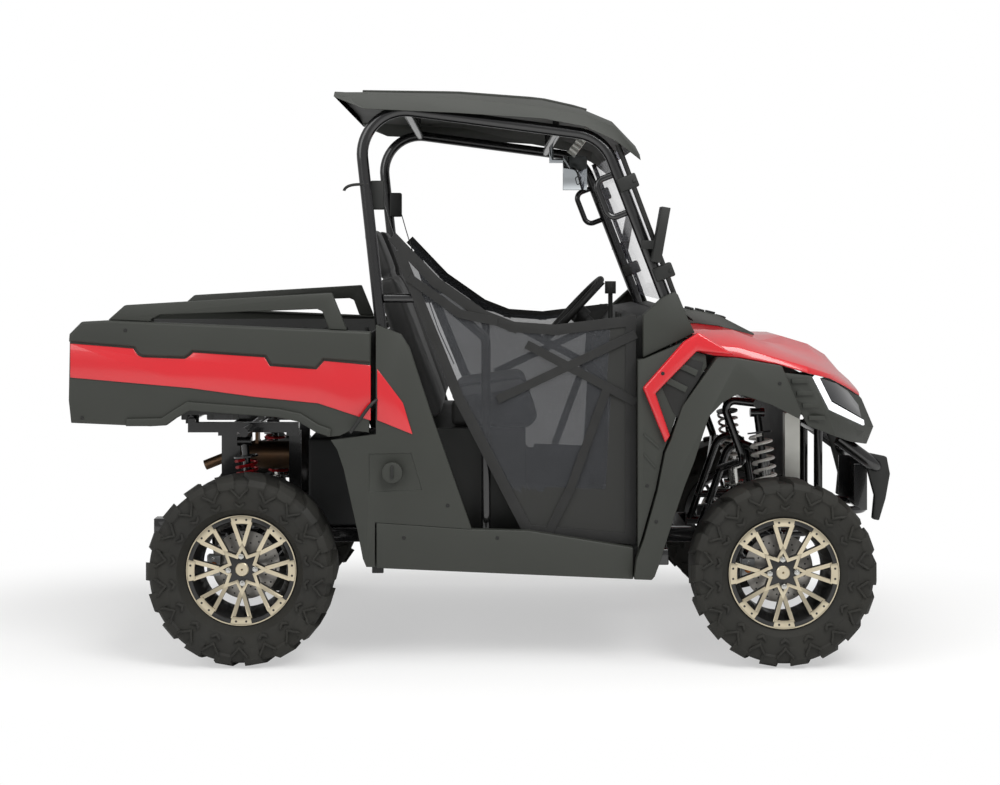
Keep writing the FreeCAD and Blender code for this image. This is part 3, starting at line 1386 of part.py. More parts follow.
def build_bed_tub():
    """The open tub, its rear corner posts, the ears that turn on the bed's pin, and the gate's hinges."""
    half = panel_outer - size.bed_side_thick - size.seat_gap
    wall = size.tub_wall
    gap = size.seat_gap
    rear = size.bed_rear_x + size.gate_thick + gap
    front = size.bed_rear_x + size.bed_length - size.panel_gap
    floor = size.bed_floor_z
    under_z = floor - wall
    height = size.tub_height
    shell = box("TubShell", (rear, -half, under_z), (front - rear, half * 2, height + wall))
    space = box("TubSpace", (rear - wall, wall - half, floor), (front - rear, (half - wall) * 2, height + wall))
    members = [cut("TubWalls", shell, space)]
    post_x = size.bed_rear_x + size.tail_lamp_thick + gap
    post_y = size.gate_half_width + size.panel_gap
    pin_x, pin_z, r = size.bed_pin_x, size.bed_pin_z, size.bed_pin_radius
    plate = size.plate_thick
    hinge_x = size.bed_rear_x + size.gate_thick / 2
    hinge_z = under_z - size.hinge_drop
    barrel = size.hinge_radius
    holes = []
    for hand, side in (("Right", -1), ("Left", 1)):
        low_y = post_y if side > 0 else -half
        members.append(box(f"TubPost{hand}", (post_x, low_y, under_z), (rear + gap - post_x, half - post_y, height + wall)))
        middle = size.bed_ear_y * side
        members.append(box(f"BedEar{hand}", (pin_x - r * 2, middle - plate, pin_z - r * 1.6),
                           (r * 4, plate * 2, under_z + wall / 2 - pin_z + r * 1.6)))
        holes.append(cylinder(f"BedEarHole{hand}", (pin_x, middle - plate * 2, pin_z), "Y", r + gap, plate * 4))
        hinge_y = size.gate_hinge_y * side
        pin_reach = size.hinge_length
        members.append(cylinder(f"GatePin{hand}", (hinge_x, hinge_y - pin_reach, hinge_z), "Y", barrel / 2, pin_reach * 2))
        for end, low in (("In", hinge_y - pin_reach), ("Out", hinge_y + pin_reach / 2 + gap)):
            length = pin_reach / 2 - gap
            members.append(cylinder(f"GateKnuckle{hand}{end}", (hinge_x, low, hinge_z), "Y", barrel, length))
            members.append(box(f"GateLug{hand}{end}", (hinge_x, low, hinge_z - barrel),
                               (rear + barrel * 2 - hinge_x, length, barrel)))
            members.append(box(f"GateLugRise{hand}{end}", (rear + barrel / 2, low, hinge_z - barrel),
                               (barrel * 1.5, length, under_z + wall / 2 - hinge_z + barrel)))
    node("bed_tub", cut("BedTub", fuse("TubBody", *members), group("TubHoles", *holes)))


def build_tailgate():
    wall = size.tub_wall
    low = size.bed_floor_z - wall
    half = size.gate_half_width
    hinge_x = size.bed_rear_x + size.gate_thick / 2
    hinge_z = low - size.hinge_drop
    barrel = size.hinge_radius
    length = size.hinge_length - size.seat_gap * 2
    frame = size.gate_height / 6
    members = [box("GatePlate", (size.bed_rear_x + size.bevel, -half, low), (size.gate_thick - size.bevel, half * 2, size.gate_height))]
    wide = (half * 2 - frame * 4) / 3
    for n in range(3):
        members.append(box(f"GatePanel{n}", (size.bed_rear_x, frame - half + (wide + frame) * n, low + frame),
                           (size.bevel * 2, wide, size.gate_height - frame * 2)))
    holes = []
    for hand, side in (("Right", -1), ("Left", 1)):
        start = size.gate_hinge_y * side - length / 2
        members.append(cylinder(f"GateBarrel{hand}", (hinge_x, start, hinge_z), "Y", barrel, length))
        members.append(box(f"GateLeaf{hand}", (hinge_x - barrel, start, hinge_z), (barrel * 2, length, low + wall - hinge_z)))
        holes.append(cylinder(f"GateBore{hand}", (hinge_x, start - wall, hinge_z), "Y", barrel / 2 + size.seat_gap,
                              length + wall * 2))
    node("tailgate", cut("Tailgate", fuse("GateBody", *members), group("GateBores", *holes)))
    lamps = []
    low_y = half + size.panel_gap * 2
    lamp_z = size.bed_floor_z + size.tub_height - size.tail_lamp_height - size.panel_gap
    for hand, start in (("Left", low_y), ("Right", -low_y - size.tail_lamp_width)):
        lamps.append(box(f"TailLamp{hand}", (size.bed_rear_x, start, lamp_z),
                         (size.tail_lamp_thick, size.tail_lamp_width, size.tail_lamp_height)))
    node("tail_lamps", group("TailLamps", *lamps))


# Nose gear and running gear

def build_front_bumper():
    """A thick upper hoop and a thinner lower tube that ends on the front frame, joined by a plate."""
    half = mm.bumper_half_width
    r = mm.bumper_top_radius
    low_r = mm.bumper_tube_radius
    front = mm.bumper_front_x - r
    rear = front_x + mm.nose_frame_reach + mm.brace_radius + mm.seat_gap
    y = front_frame_y.value
    upper = [(mm.bumper_rear_x, half, mm.bumper_top_z + mm.bumper_rise), (front, half, mm.bumper_top_z)]
    lower = [(rear, y, mm.bumper_low_z), (front - low_r, y, mm.bumper_low_z)]
    parts = []
    for run, radius in ((upper, r), (lower, low_r)):
        path = [V(x, -side, z) for x, side, z in run] + [V(x, side, z) for x, side, z in reversed(run)]
        parts.append(tube(path, radius, mm.bumper_bend))
    plate = mm.plate_thick
    parts.append(slab((front - low_r - plate / 2, front - low_r + plate / 2), (-y, y), (mm.bumper_low_z, mm.bumper_top_z)))
    for side in (-1, 1):
        wide = sorted((side * y, side * (y - plate)))
        parts.append(slab((front - low_r * 4, front - low_r), wide, (mm.bumper_low_z, mm.bumper_top_z)))
    node("front_bumper", shaped("FrontBumper", joined(parts)))


def build_radiator():
    """A finned core between two bright side tanks."""
    half = size.radiator_half_width
    tank = size.radiator_tank
    depth = size.radiator_depth
    core = box("RadiatorCore", (size.radiator_x + depth / 6, tank - half, size.radiator_low_z),
               (depth * 0.667, (half - tank) * 2, size.radiator_height))
    tanks = [box(f"RadiatorTank{hand}", (size.radiator_x, start, size.radiator_low_z), (depth, tank, size.radiator_height))
             for hand, start in (("Right", -half), ("Left", half - tank))]
    node("radiator", fuse("Radiator", core, *tanks))


BALL_SHARE = 1.6
UPPER_SPREAD_SHARE = 0.8
REAR_SPREAD_SHARE = 1.3


def bush(x, y, z):
    """A pivot bush along X, beside the frame tube that carries it."""
    return Part.makeCylinder(mm.bush_radius, mm.bush_length, V(x - mm.bush_length / 2, y, z), V(1, 0, 0))


def wishbone(x, pivot_y, pivot_z, end_y, end_z, spread):
    """Both legs of a right-hand wishbone, each with its bush."""
    shapes = []
    for lean in (-spread, spread):
        shapes.append(bush(x + lean, -pivot_y, pivot_z))
        shapes.append(bar(V(x + lean, -pivot_y, pivot_z), V(x, -end_y, end_z), mm.arm_tube_radius))
    return shapes


def ball_height(sign):
    """Middle of the front upper or lower ball joint."""
    reach = mm.knuckle_half_height + mm.seat_gap + mm.arm_tube_radius * 1.3
    return mm.front_tyre_radius + sign * reach


def caliper(x, z, face, open_end):
    """A right-hand brake caliper astride the disc behind the axle; face is the hub's inboard end."""
    disc_out = -face - mm.axle_gap - mm.disc_thick
    gap = mm.running_gap
    wall = mm.caliper_wall
    reach = (mm.disc_radius + gap + wall * 0.6, mm.caliper_reach - mm.caliper_width / 2)
    half = mm.caliper_height / 2
    height = (z - half, z + half)
    outer = slab((x - reach[0], x - reach[1]), (disc_out - gap - wall, disc_out - gap), height)
    inner_y = disc_out + mm.disc_thick + gap
    inner = slab((x - reach[0], x - reach[1]), (inner_y, inner_y + wall), height)
    bridge = slab((x - reach[0], x - mm.disc_radius - gap), (disc_out - gap - wall, inner_y + wall), height)
    arm = slab((x - reach[1] - gap, x - open_end), (inner_y, inner_y + wall), (z - half / 2, z + half / 2))
    return [outer, inner, bridge, arm]


def build_suspension():
    r = mm.arm_tube_radius
    low = frame_axis_z.value
    king = kingpin_y.value
    front = []
    for sign, pivot_z, spread in ((-1, low, mm.arm_spread), (1, mm.upper_pivot_z, mm.arm_spread * UPPER_SPREAD_SHARE)):
        middle = ball_height(sign)
        end = Part.makeCylinder(r * BALL_SHARE, r * 2.6, V(front_x, -king, middle - r * 1.3))
        legs = wishbone(front_x, mm.front_arm_pivot_y, pivot_z, king, middle + sign * r / 2, spread)
        front.append(joined([end] + legs))
    node("front_arms", shaped("FrontArms", both_sides(*front)))
    z = mm.rear_tyre_radius
    x = mm.rear_axle_x
    face = rear_face.value
    reach = mm.knuckle_half_height
    end_y = face - mm.carrier_depth / 2
    carrier = slab((x - r * 2, x + r * 2), (-face, mm.carrier_depth - face), (z - reach, z + reach))
    rear = [carrier] + caliper(x, z, face, 0)
    for sign, pivot_z in ((-1, low), (1, mm.upper_pivot_z)):
        rear += wishbone(x, mm.rear_arm_pivot_y, pivot_z, end_y, z + sign * (reach - r), mm.arm_spread * REAR_SPREAD_SHARE)
    node("rear_arms", shaped("RearArms", both_sides(joined(rear))))


def build_knuckles():
    """Steered uprights with round ends for the ball joints, a steering arm and a brake caliper."""
    z = mm.front_tyre_radius
    reach = mm.knuckle_half_height
    y = kingpin_y.value
    face = front_face.value
    half = mm.arm_tube_radius * 1.8
    deep = half * 0.8
    boss = mm.knuckle_boss_height
    post = slab((front_x - half, front_x + half), (-y - deep, -y + deep), (z - reach + boss, z + reach - boss))
    bosses = Part.makeCylinder(mm.knuckle_boss_radius, reach * 2, V(front_x, -y, z - reach))
    stub = Part.makeCylinder(mm.axle_radius * 1.5, face - y, V(front_x, -face, z), V(0, 1, 0))
    arm_z = z + mm.steer_arm_rise
    end_y = -rod_half.value - mm.rod_radius
    thick = mm.plate_thick
    wide = half * 0.6
    loop = [V(front_x, -y - wide, arm_z - thick), V(front_x, -y + wide, arm_z - thick),
            V(rack_x.value + wide, end_y + wide, arm_z - thick), V(rack_x.value - wide, end_y + wide, arm_z - thick),
            V(rack_x.value - wide, end_y - wide, arm_z - thick)]
    arm = prism(loop, V(0, 0, thick * 2))
    right = joined([post, bosses, stub, arm] + caliper(front_x, z, face, 0))
    node("knuckle_right", shaped("KnuckleRight", right))
    node("knuckle_left", shaped("KnuckleLeft", mirror_y(right)))
    node("rack_rods", cylinder("RackRods", (rack_x, -rod_half, rack_z), "Y", size.rod_radius, rod_half * 2))


def seat_on_arm(y, pivot_y, pivot_z, end_y, end_z):
    """Height of a shock's lower eye that rests on a wishbone's legs at a given side."""
    slope = (end_z - pivot_z) / (end_y - pivot_y)
    level = pivot_z + slope * (y - pivot_y)
    return level + (mm.arm_tube_radius + mm.shock_eye_radius + mm.seat_gap) * math.hypot(1, slope)


# Along a shock: its two spring seats
SPRING_SEAT_SHARES = (0.2, 0.8)
SPRING_TURNS = 7
TURN_STEPS = 10
WIRE_SIDES = 5


def coil(low, high):
    """A spring's wire wound about the line between two points."""
    along = high - low
    axis = V(along).normalize()
    first = V(1, 0, 0).cross(axis).normalize()
    second = axis.cross(first)
    wire = mm.spring_wire_radius
    steps = SPRING_TURNS * TURN_STEPS
    sections = []
    for n in range(steps + 1):
        angle = 2 * math.pi * n / TURN_STEPS
        out = first * math.cos(angle) + second * math.sin(angle)
        middle = low + along * (n / steps) + out * mm.spring_radius
        ring = [2 * math.pi * k / WIRE_SIDES for k in range(WIRE_SIDES)]
        sections.append([middle + out * (wire * math.cos(a)) + axis * (wire * math.sin(a)) for a in ring])
    return polyhedron(sections)


def build_shocks():
    """A damper at each wheel with an eye at each end, and a coil spring between its two seats."""
    ring = mm.shock_eye_radius
    drop = mm.brace_radius + mm.seat_gap + ring
    front_foot = seat_on_arm(mm.shock_foot_y, mm.front_arm_pivot_y, mm.upper_pivot_z, kingpin_y.value,
                             ball_height(1) + mm.arm_tube_radius / 2)
    end_y = rear_face.value - mm.carrier_depth / 2
    rear_foot = seat_on_arm(mm.rear_shock_y, mm.rear_arm_pivot_y, mm.upper_pivot_z, end_y,
                            mm.rear_tyre_radius + mm.knuckle_half_height - mm.arm_tube_radius)
    crest = mm.shock_top_z - mm.frame_bend * 0.12
    ends = [(V(front_x - mm.shock_lean, -mm.shock_top_y, crest - drop), V(front_x, -mm.shock_foot_y, front_foot),
             mm.arm_spread * UPPER_SPREAD_SHARE),
            (V(mm.rear_shock_x, -mm.rear_shock_y, deck_axis_z.value - drop), V(mm.rear_axle_x, -mm.rear_shock_y, rear_foot),
             mm.arm_spread * REAR_SPREAD_SHARE)]
    dampers, springs = [], []
    body = mm.shock_radius
    seat = mm.spring_radius + mm.spring_wire_radius
    wire = mm.spring_wire_radius + mm.seat_gap
    for high, low, span in ends:
        along = high - low
        axis = V(along).normalize()
        seats = [low + along * share for share in SPRING_SEAT_SHARES]
        thick = axis * mm.spring_wire_radius
        shapes = [Part.makeCylinder(ring, mm.bush_length, high - V(mm.bush_length / 2, 0, 0), V(1, 0, 0)),
                  Part.makeCylinder(ring, span, low - V(span / 2, 0, 0), V(1, 0, 0)),
                  bar(low, low + along * 0.55, body), bar(low + along * 0.5, high, body * 0.6),
                  bar(seats[0] - thick, seats[0], seat), bar(seats[1], seats[1] + thick, seat)]
        dampers.append(joined(shapes))
        springs.append(coil(seats[0] + axis * wire, seats[1] - axis * wire))
    node("shocks", shaped("Shocks", both_sides(*dampers)))
    node("springs", shaped("Springs", both_sides(*springs)))


def build_driveline():
    half = size.engine_width / 2
    node("engine", box("Engine", (size.engine_front_x - size.engine_length, -half, floor_low),
                       (size.engine_length, size.engine_width, size.engine_height)))
    drives = []
    wall = size.brace_radius + size.seat_gap
    ends = (("Front", front_axle_x, size.front_tyre_radius, kingpin_y - size.boot_radius, front_frame_y),
            ("Rear", size.rear_axle_x, size.rear_tyre_radius, rear_face - size.carrier_depth - size.seat_gap, rear_frame_y))
    for end, x, z, face, frame_y in ends:
        half = frame_y - wall
        case = cylinder(f"{end}Case", (x, -half, z), "Y", size.diff_radius, half * 2)
        shaft = cylinder(f"{end}Shaft", (x, -face, z), "Y", size.shaft_radius, face * 2)
        drives.append(fuse(f"{end}Drive", case, shaft))
    node("drive_axles", group("DriveAxles", *drives))


def build_exhaust():
    r = mm.muffler_radius
    front = mm.muffler_front_x
    back = front - mm.muffler_length
    y, z = mm.muffler_y, mm.muffler_z
    can = bar(V(back, y, z), V(front, y, z), r)
    reach = mm.tail_pipe_reach
    pipe = tube([V(back + r, y, z), V(back - reach / 3, y, z), V(back - reach, y, z - mm.tail_pipe_drop)],
                mm.tail_pipe_radius, mm.tail_pipe_bend)
    plate = mm.plate_thick
    top = deck_axis_z.value - mm.brace_radius - mm.seat_gap
    hanger = slab((mm.rear_shock_x - plate, mm.rear_shock_x + plate), (y - r / 2, y + r / 2), (z, top))
    node("exhaust", shaped("Exhaust", joined([can, pipe, hanger])))


NET_BAND_SHARES = [
    [(0, 1), (0.17, 0.86), (0.37, 0.75), (0.5, 0.71), (0.68, 0.7), (1, 0.73)],
    [(0.02, 0.95), (0.27, 0.47), (0.56, 0.03)],
    [(1, 0.73), (1, 0)],
    [(0.56, 0.03), (1, 0)]]


def build_nets():
    bands = []
    y = -cage_outer.value
    half = mm.net_band / 2
    start, extent = (mm.net_rear_x, mm.net_low_z), (mm.net_length, mm.net_height)
    for shares in NET_BAND_SHARES:
        corners = upright(placed(shares, start, extent), y)
        for first, second in zip(corners, corners[1:]):
            along = (second - first).normalize() * half
            side = V(-along.z, 0, along.x)
            first, second = first - along, second + along
            loop = [first - side, second - side, second + side, first + side]
            bands.append(prism(loop, V(0, -mm.net_thick, 0)))
    node("side_nets", shaped("SideNets", both_sides(joined(bands))))


def build_mirrors():
    out = -cage_outer.value
    thick = mm.mirror_thick
    glass = slab((mm.mirror_x, mm.mirror_x + thick), (out - mm.mirror_width, out), (mm.mirror_z, mm.mirror_z + mm.mirror_height))
    glass.rotate(V(mm.mirror_x, 0, mm.mirror_z), V(0, 1, 0), 10)
    slope = (mm.cage_front_x - mm.cowl_bend_x) / (mm.cage_front_z - mm.cowl_bend_z)
    level = mm.mirror_z + mm.mirror_height * 0.3
    tube_x = mm.cowl_bend_x + (level - mm.cowl_bend_z) * slope
    half = thick / 2
    stalk = slab((tube_x - half, mm.mirror_x + thick), (out - thick, out), (level - half, level + half))
    outside = both_sides(joined([glass, stalk]))
    x, z = mm.inner_mirror_x, mm.inner_mirror_z
    wide, high, deep = mm.inner_mirror_width / 2, mm.inner_mirror_height / 2, mm.inner_mirror_thick / 2
    bar_x, bar_z = roof_bar(ROOF_BAR_SHARES[1])
    stalk_half = deep * 0.8
    inside = [slab((x - wide, x + wide), (-deep, deep), (z - high, z + high)),
              slab((bar_x - stalk_half, x), (-stalk_half, stalk_half), (z + high * 0.6, z + high * 0.85)),
              slab((bar_x - stalk_half, bar_x + stalk_half), (-stalk_half, stalk_half),
                   (z + high * 0.6, bar_z - mm.brace_radius - mm.seat_gap))]
    node("mirrors", shaped("Mirrors", Part.makeCompound([outside, joined(inside)])))


for build in (build_wheels, build_main_frame, build_front_frame, build_rear_frame, build_receiver, build_floor,
              build_seat_base, build_seats, build_dash, build_steering_wheel, build_cage, build_roof, build_windscreen,
              build_side_panels, build_front_fenders, build_hood, build_cowl, build_fascia, build_bed_sides,
              build_bed_tub, build_tailgate, build_front_bumper, build_radiator, build_suspension, build_knuckles,
              build_shocks, build_driveline, build_exhaust, build_nets, build_mirrors):
    build()

doc.recompute()

for obj in doc.Objects:
    if "Invalid" in obj.State or "Error" in obj.State:
        raise RuntimeError(f"{obj.Label}: {obj.State}")

os.makedirs(PARTS, exist_ok=True)
for label, obj in nodes.items():
    if obj.Shape.isNull() or not obj.Shape.isValid():
        raise RuntimeError(f"{label} has no valid shape")
    obj.Shape.exportStep(f"{PARTS}/{label}.step")
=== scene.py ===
import bpy
import json
import math
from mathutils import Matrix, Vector, noise


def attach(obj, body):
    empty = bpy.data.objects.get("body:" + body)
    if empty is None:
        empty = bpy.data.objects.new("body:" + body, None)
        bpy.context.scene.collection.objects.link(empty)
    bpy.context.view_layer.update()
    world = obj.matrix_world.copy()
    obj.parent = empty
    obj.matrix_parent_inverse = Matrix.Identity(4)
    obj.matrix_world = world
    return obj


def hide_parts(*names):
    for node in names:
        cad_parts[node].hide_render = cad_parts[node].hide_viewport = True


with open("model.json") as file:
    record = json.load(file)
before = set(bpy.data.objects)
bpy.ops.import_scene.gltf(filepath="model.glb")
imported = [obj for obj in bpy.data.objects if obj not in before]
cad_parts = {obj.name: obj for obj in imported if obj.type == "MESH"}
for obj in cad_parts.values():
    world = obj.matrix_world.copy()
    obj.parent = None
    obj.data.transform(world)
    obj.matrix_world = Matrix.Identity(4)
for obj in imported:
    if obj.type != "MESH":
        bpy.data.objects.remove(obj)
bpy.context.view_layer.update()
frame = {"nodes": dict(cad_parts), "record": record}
nodes = frame["nodes"]
scene = bpy.context.scene
bodyOf = {name: body for body, names in frame["record"]["behaviour"]["bodies"].items() for name in names}

# View and light, in metres. The camera stands level, abreast of the vehicle.
view = {"place": (-0.019, -6.45, 1.4156), "lens": 60.55, "sensor": 36.0, "shift": (0.014, -0.14)}
studio = {"floor": "#f4f4f3", "world": 0.5, "floorSize": 60, "aim": (0, 0, 0.9),
          "nearFloor": 0.85, "farFloor": 1.6, "nearShare": 0.5, "stretch": (0.5, 1.0, 1.0),
          "lamps": {"key": ((2.5, -4.5, 5.5), 260, 3.0), "fill": ((-4.0, -4.0, 3.5), 90, 3.5),
                    "top": ((0.0, -0.8, 5.5), 110, 4.0)}}

# Colours as sRGB hex and sizes in millimetres. Each row holds the colour and a second one, the size of the slow
# change between them, the size, strength and depth of the grain, and the lowest and highest roughness. What the
# shader gets besides stands at its end.
finishes = {
    # vulcanised rubber, moulded: near black, matt, with a dusty brown cast
    "mouldedRubber": ("#191917", "#2b2a25", 140, 3, 0.35, 0.6, 0.62, 0.85, {"Specular IOR Level": 0.35}),
    # cast aluminium, face-turned and lacquered: champagne silver with fine lines
    "turnedAluminium": ("#cdc3ab", "#b9ae97", 60, 0.8, 0.08, 0.2, 0.24, 0.36, {"Metallic": 1.0}),
    # cast aluminium under gloss black enamel: deep black with soft highlights
    "blackEnamel": ("#0a0a0a", "#111111", 90, 2, 0.05, 0.2, 0.3, 0.42,
                    {"Coat Weight": 0.2, "Coat Roughness": 0.15}),
    # steel tube, powder coated gloss black: slight orange peel
    "powderCoat": ("#0b0b0c", "#121213", 200, 3, 0.06, 0.3, 0.2, 0.3,
                   {"Coat Weight": 0.6, "Coat Roughness": 0.08}),
    # injection moulded ABS, painted and clear coated: deep red with sharp reflections
    "redLacquer": ("#cc0a1b", "#b80817", 400, 5, 0.02, 0.2, 0.3, 0.36,
                   {"Coat Weight": 0.7, "Coat Roughness": 0.05}),
    # polypropylene with a moulded leather grain: matt dark olive grey
    "grainedPlastic": ("#2f312c", "#282a25", 260, 1.6, 0.25, 0.3, 0.5, 0.64, {"Specular IOR Level": 0.45}),
    # polypropylene, finer and darker, inside the cab and on the trims
    "blackPlastic": ("#1c1d1b", "#161715", 200, 1.4, 0.2, 0.3, 0.5, 0.66, {"Specular IOR Level": 0.45}),
    # vinyl-coated cloth: soft black with a fine grain
    "seatVinyl": ("#1a1a19", "#131312", 90, 2, 0.3, 0.4, 0.55, 0.72, {"Sheen Weight": 0.15}),
    # woven nylon tape: black, dull, ribbed across
    "nylonTape": ("#1b1b1a", "#131312", 70, 2.5, 0.5, 0.5, 0.75, 0.9, {"Sheen Weight": 0.2}),
    # woven nylon cloth at the net's foot: black with soft creases
    "nylonCloth": ("#161715", "#22221f", 110, 2, 0.4, 0.5, 0.7, 0.88, {"Sheen Weight": 0.25}),
    # sand cast aluminium: light grey, grainy
    "castAluminium": ("#9b9c9c", "#828484", 40, 1.2, 0.35, 0.3, 0.38, 0.52, {"Metallic": 0.9}),
    # cast iron housing, painted black
    "castIron": ("#1d1e1f", "#292a2a", 50, 2, 0.5, 0.4, 0.45, 0.62, {"Metallic": 0.3}),
    # ground stainless disc: silver with a circular grind
    "groundSteel": ("#a9a6a1", "#8e8a84", 30, 1, 0.1, 0.2, 0.25, 0.38, {"Metallic": 1.0}),
    # zinc-plated fasteners: bright silver
    "zincPlate": ("#c9c9c6", "#b2b2ae", 20, 1, 0.05, 0.1, 0.2, 0.32, {"Metallic": 1.0}),
    # anodised copper-brown pistons
    "copperPiston": ("#b5713f", "#98552c", 15, 1, 0.05, 0.1, 0.28, 0.42, {"Metallic": 1.0}),
    # spring steel under light grey powder coat
    "greySpring": ("#e9e7e1", "#d9d6cf", 60, 2, 0.08, 0.2, 0.3, 0.42,
                   {"Coat Weight": 0.4, "Coat Roughness": 0.2}),
    # anodised red collars and small parts
    "redAnodised": ("#b0121b", "#960d15", 40, 1, 0.05, 0.1, 0.3, 0.4, {"Metallic": 0.6}),
    # stainless silencer, tinted bronze by heat
    "heatedSteel": ("#8a6a4c", "#5f5148", 70, 1.5, 0.12, 0.2, 0.3, 0.46, {"Metallic": 1.0}),
    # rolled aluminium, unpainted: pale and even
    "rolledAluminium": ("#d5d5cf", "#c5c5be", 80, 1, 0.06, 0.1, 0.32, 0.45, {"Metallic": 0.85}),
    # smoked polycarbonate over the lamp
    "smokedLens": ("#0c0d10", "#121419", 60, 2, 0.01, 0.1, 0.06, 0.1,
                   {"Coat Weight": 1.0, "Coat Roughness": 0.03}),
    # red acrylic lens
    "redAcrylic": ("#a00d12", "#7f070c", 30, 2, 0.02, 0.1, 0.08, 0.14,
                   {"Coat Weight": 1.0, "Coat Roughness": 0.04}),
    # silvered glass
    "mirrorGlass": ("#cfd4d8", "#c4cace", 90, 2, 0.005, 0.1, 0.03, 0.06, {"Metallic": 1.0}),
    # black rubber hose and boots, softer than the tyres
    "softRubber": ("#131312", "#1d1d1b", 40, 2, 0.2, 0.3, 0.5, 0.65, {"Specular IOR Level": 0.4}),
}


def linear(hexColour, alpha=1.0):
    parts = [int(hexColour[i:i + 2], 16) / 255 for i in (1, 3, 5)]
    return tuple(c / 12.92 if c <= 0.04045 else ((c + 0.055) / 1.055) ** 2.4 for c in parts) + (alpha,)


def addNode(tree, kind, settings=None, links=None):
    node = tree.nodes.new(kind)
    for name, value in (settings or {}).items():
        if name in node.inputs:
            node.inputs[name].default_value = value
        else:
            setattr(node, name, value)
    for name, source in (links or {}).items():
        tree.links.new(source, node.inputs[name])
    return node


def startMaterial(name):
    material = bpy.data.materials.new(name)
    material.use_nodes = True
    tree = material.node_tree
    place = addNode(tree, "ShaderNodeTexCoord").outputs["Object"]
    return material, tree, tree.nodes["Principled BSDF"], place


def mixColours(tree, first, second, pattern):
    mix = addNode(tree, "ShaderNodeMixRGB", {"Color1": linear(first), "Color2": linear(second)},
                  {"Fac": pattern.outputs["Fac"]})
    return mix.outputs["Color"]


def rangeOf(tree, low, high, source):
    node = addNode(tree, "ShaderNodeMapRange", {"To Min": low, "To Max": high}, {"Value": source})
    return node.outputs["Result"]


def setSockets(shader, values):
    for name, value in values.items():
        shader.inputs[name].default_value = value


def makeFinish(name):
    first, second, patchSize, grainSize, strength, depth, low, high, sockets = finishes[name]
    material, tree, shader, place = startMaterial(name)
    patch = addNode(tree, "ShaderNodeTexNoise", {"Scale": 1000 / patchSize, "Detail": 4.0}, {"Vector": place})
    grain = addNode(tree, "ShaderNodeTexNoise", {"Scale": 1000 / grainSize, "Detail": 2.0}, {"Vector": place})
    colour = mixColours(tree, first, second, patch)
    rough = rangeOf(tree, low, high, patch.outputs["Fac"])
    bump = addNode(tree, "ShaderNodeBump", {"Strength": strength, "Distance": depth / 1000},
                   {"Height": grain.outputs["Fac"]})
    tree.links.new(colour, shader.inputs["Base Color"])
    tree.links.new(rough, shader.inputs["Roughness"])
    tree.links.new(bump.outputs["Normal"], shader.inputs["Normal"])
    setSockets(shader, sockets)
    return material


made = {name: makeFinish(name) for name in finishes}


def makeNetCloth():
    # knitted polyester net: each thread is thinner than a pixel, so its mesh is drawn about twice as coarse
    material, tree, shader, place = startMaterial("knittedNet")
    threads = []
    for axis in ("X", "Z"):
        look = {"Scale": 130.0, "bands_direction": axis, "Distortion": 0.6}
        threads.append(addNode(tree, "ShaderNodeTexWave", look, {"Vector": place}).outputs["Fac"])
    weave = addNode(tree, "ShaderNodeMath", {"operation": "MAXIMUM"}, {0: threads[0], 1: threads[1]})
    cover = rangeOf(tree, 0.45, 0.88, weave.outputs["Value"])
    patch = addNode(tree, "ShaderNodeTexNoise", {"Scale": 7.0, "Detail": 5.0}, {"Vector": place})
    tree.links.new(mixColours(tree, "#222325", "#35373b", patch), shader.inputs["Base Color"])
    tree.links.new(cover, shader.inputs["Alpha"])
    setSockets(shader, {"Roughness": 0.8, "Sheen Weight": 0.2})
    return material


def makeClearSheet():
    # polycarbonate sheet, extruded: clear with a faint violet grey in its depth
    material, tree, shader, place = startMaterial("clearPolycarbonate")
    haze = addNode(tree, "ShaderNodeTexNoise", {"Scale": 6.0, "Detail": 3.0}, {"Vector": place})
    cover = rangeOf(tree, 0.16, 0.3, haze.outputs["Fac"])
    setSockets(shader, {"Base Color": linear("#a9a9b8"), "Roughness": 0.06, "IOR": 1.58})
    tree.links.new(cover, shader.inputs["Alpha"])
    return material


def makeLampLight():
    # frosted light guide: even white
    material, tree, shader, place = startMaterial("frostedLightGuide")
    frost = addNode(tree, "ShaderNodeTexNoise", {"Scale": 90.0}, {"Vector": place})
    colour = mixColours(tree, "#ffffff", "#eef2f8", frost)
    tree.links.new(colour, shader.inputs["Base Color"])
    tree.links.new(colour, shader.inputs["Emission Color"])
    setSockets(shader, {"Emission Strength": 0.55, "Roughness": 0.25})
    return material


made["knittedNet"] = makeNetCloth()
made["clearPolycarbonate"] = makeClearSheet()
made["frostedLightGuide"] = makeLampLight()
print("finishes ready")


def deselect():
    bpy.ops.object.select_all(action="DESELECT")


def choose(piece):
    deselect()
    piece.select_set(True)
    bpy.context.view_layer.objects.active = piece


def applyAll(piece):
    choose(piece)
    for modifier in list(piece.modifiers):
        bpy.ops.object.modifier_apply(modifier=modifier.name)


def settle(piece, name, finish, body="root", smooth=35):
    # places the shape in its mesh, names it and gives it its finish and body
    choose(piece)
    bpy.ops.object.transform_apply(location=True, rotation=True, scale=True)
    bpy.ops.object.shade_smooth_by_angle(angle=math.radians(smooth))
    piece.name = name
    piece.data.name = name
    if finish:
        piece.data.materials.clear()
        piece.data.materials.append(made[finish])
    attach(piece, body)
    return piece


def join(pieces):
    deselect()
    for piece in pieces:
        piece.select_set(True)
    bpy.context.view_layer.objects.active = pieces[0]
    if len(pieces) > 1:
        bpy.ops.object.join()
    return bpy.context.object


def roundEdges(piece, width, segments=2, angle=30):
    modifier = piece.modifiers.new("edges", "BEVEL")
    modifier.width = width
    modifier.segments = segments
    modifier.limit_method = "ANGLE"
    modifier.angle_limit = math.radians(angle)
    modifier.use_clamp_overlap = True
    applyAll(piece)


